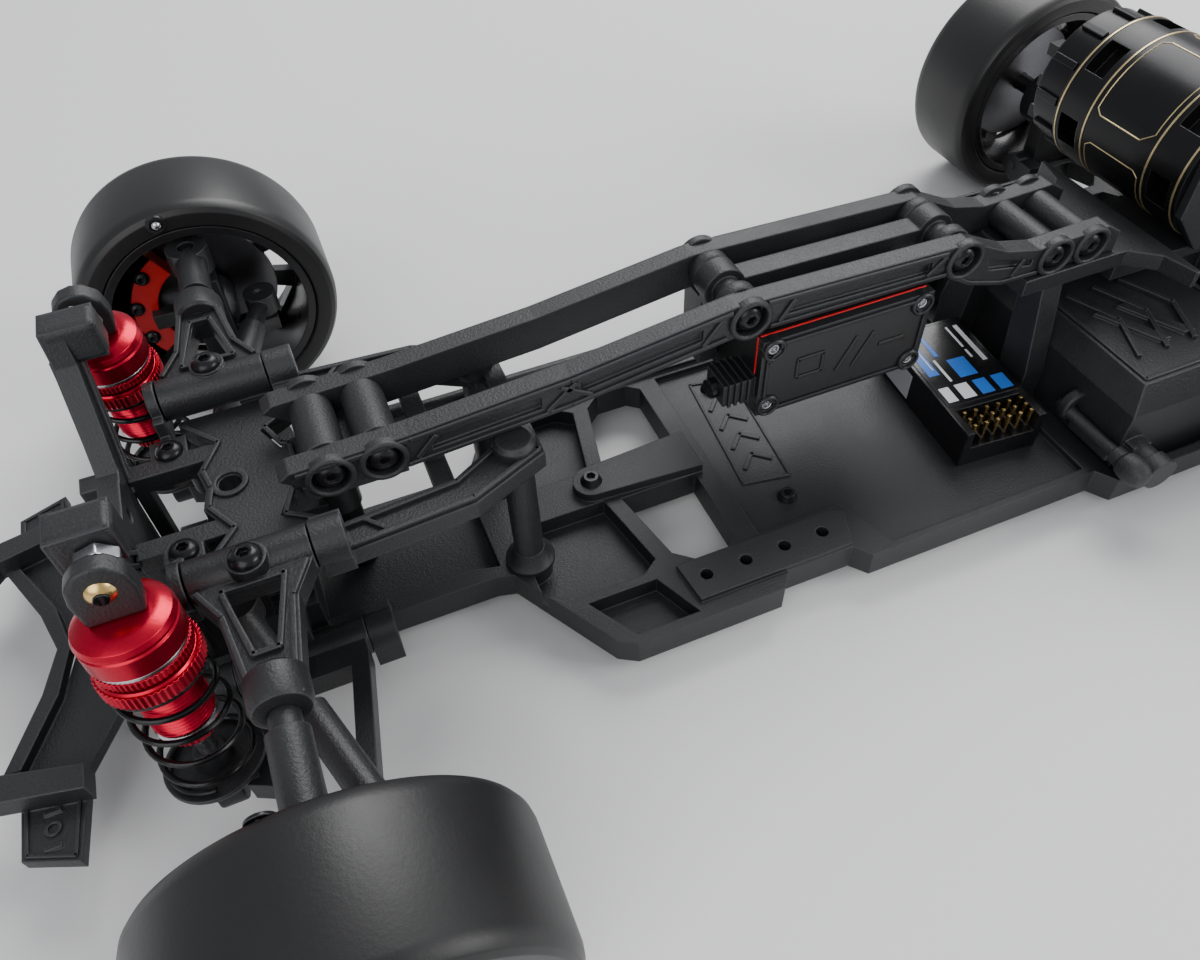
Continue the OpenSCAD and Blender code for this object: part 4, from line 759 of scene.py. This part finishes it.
fixed("motor_bell_rings", bm, "motor_can", axis_at)
bm = bmesh.new()
for k in range(12):
    a = TAU * k / 12
    block((16.4, -0.9, -37.4), (17.5, 0.9, -30), bm)
    bmesh.ops.rotate(bm, verts=bm.verts[-8:], cent=(0, 0, 0), matrix=Matrix.Rotation(a, 3, "Z"))
fixed("motor_bell_fins", bm, "motor_can", axis_at, edge=0.2)

# ---------------------------------------------------------------- battery cover and latches
LID = 32.0  # height of the cover's top
bm = raised(closed([(-223.8, -38.4), (-189.2, -38.4), (-189.2, 38.4), (-223.8, 38.4)]), 0.8, 0.5, LID)
for s in (1, -1):
    for k in range(3):
        x = -193 - 8 * k
        raised([(x, 8 * s), (x - 5, 20 * s), (x, 32 * s)], 1.1, 0.9, LID, bm)
fixed("battery_cover_ribs", bm, "frame_plastic", on_top())
for side, s in SIDES:
    bar = lathe([(0, 26), (1.5, 26), (1.7, 26.4), (1.7, 30), (1.5, 30.3), (1.5, 44), (2.2, 44.4),
                 (2.2, 46.6), (3.0, 47.4), (3.3, 49.6), (3.0, 52), (2.2, 53.4), (1.0, 53.8), (0, 53.8)], 40)
    fixed(f"latch_{side}_bar", bar, "frame_plastic", on_side(s, FX - 182.2, 17))
    ring = lathe([(2.0, 27.2), (3.9, 27.2), (4.2, 27.6), (4.2, 29.4), (3.9, 29.8), (2.0, 29.8)], 40)
    fixed(f"latch_{side}_ring", ring, "frame_plastic", on_side(s, FX - 184.0, 18))
    bm = block((-187.0, 30.4, 13.2), (-181.6, 43.4, 15.8))
    fixed(f"latch_{side}_tab", bm, "frame_plastic", on_top(s), edge=0.6)

# ---------------------------------------------------------------- tub and bumper marks
PAN = 9.4  # height of the tub's floor
bm = raised(closed([(-104.6, 12.4), (-116, 14.4), (-119, -21), (-108, -23.4)]), 0.6, 0.35, PAN)
for k in range(4):
    y = 6 - 7 * k
    x = -110.6 - 0.45 * k
    raised([(x + 3.4, y + 2.4), (x - 0.4, y - 1.6), (x - 4.2, y + 1.8)], 1.1, 0.4, PAN, bm)
fixed("tub_mark", bm, "tub_plastic", on_top())
for side, s in SIDES:
    bm = lathe([(0.9, 13.5), (1.5, 13.5), (1.5, 14.1), (0.9, 14.1)], 32)
    fixed(f"bumper_{side}_tab_ring", bm, "frame_plastic", on_top(s) @ move(48.5, 37.9, 0))
    bm = stroke_plate([(43.6, 31), (44.8, 44.6), (53, 41.4), (53, 31)], 0.6, 13.5, 14.0)
    fixed(f"bumper_{side}_tab_rim", bm, "frame_plastic", on_top(s))
    bm = bmesh.new()
    stroke_plate([(60, 30), (71.2, 17.6), (74.2, 5), (74.2, 0)], 0.7, 18.5, 19.2, bm)
    stroke_plate([(57.6, 27), (67.6, 14.2), (70.8, 4), (70.8, 0)], 0.7, 18.5, 19.2, bm)
    fixed(f"bumper_{side}_hoop_rims", bm, "frame_plastic", on_top(s))

# ---------------------------------------------------------------- stage
floor_mat = bpy.data.materials.new("studio_floor")
tree, bsdf = nodes_of(floor_mat)
bsdf.inputs["Base Color"].default_value = (0.80, 0.80, 0.80, 1)
bsdf.inputs["Roughness"].default_value = 0.9
bpy.ops.mesh.primitive_plane_add(size=12, location=(0, 0, -0.0002))
floor = bpy.context.object
floor.name = "floor"
floor.data.materials.append(floor_mat)

world = bpy.data.worlds.new("studio")
bpy.context.scene.world = world
world.use_nodes = True
world.node_tree.nodes["Background"].inputs["Color"].default_value = (0.93, 0.95, 1.0, 1)
world.node_tree.nodes["Background"].inputs["Strength"].default_value = 0.5


def soft_light(name, place, power, size, aim=(0, 0, 0.03)):
    data = bpy.data.lights.new(name, "AREA")
    data.energy = power
    data.size = size
    lamp = bpy.data.objects.new(name, data)
    lamp.location = place
    lamp.rotation_euler = (Vector(aim) - Vector(place)).to_track_quat("-Z", "Y").to_euler()
    bpy.context.scene.collection.objects.link(lamp)


soft_light("key", (-0.5, -0.7, 1.0), 14, 0.8)
soft_light("fill", (0.6, 0.7, 0.7), 6, 0.9)
soft_light("rim", (-0.9, 0.5, 0.6), 6, 0.5)

# ---------------------------------------------------------------- camera
# Stands and looks as the photograph's camera does.
CAM_AT = Vector((-0.0224 + FRONT_X, 0.1382, 0.1793))
AZ, EL, ROLL = (math.radians(a) for a in (20.18, 48.55, -3.0))
look = Vector((-math.sin(AZ) * math.cos(EL), -math.cos(AZ) * math.cos(EL), -math.sin(EL)))
right = look.cross(Vector((0, 0, 1))).normalized()
up = right.cross(look)
cam_x = math.cos(ROLL) * right + math.sin(ROLL) * up
cam_y = -math.sin(ROLL) * right + math.cos(ROLL) * up
cam_data = bpy.data.cameras.new("camera")
cam_data.sensor_width = 36
cam_data.lens = 28.47
cam_data.clip_start = 0.005
camera = bpy.data.objects.new("camera", cam_data)
camera.matrix_world = Matrix.Translation(CAM_AT) @ Matrix((cam_x, cam_y, -look)).transposed().to_4x4()
bpy.context.scene.collection.objects.link(camera)
bpy.context.scene.camera = camera
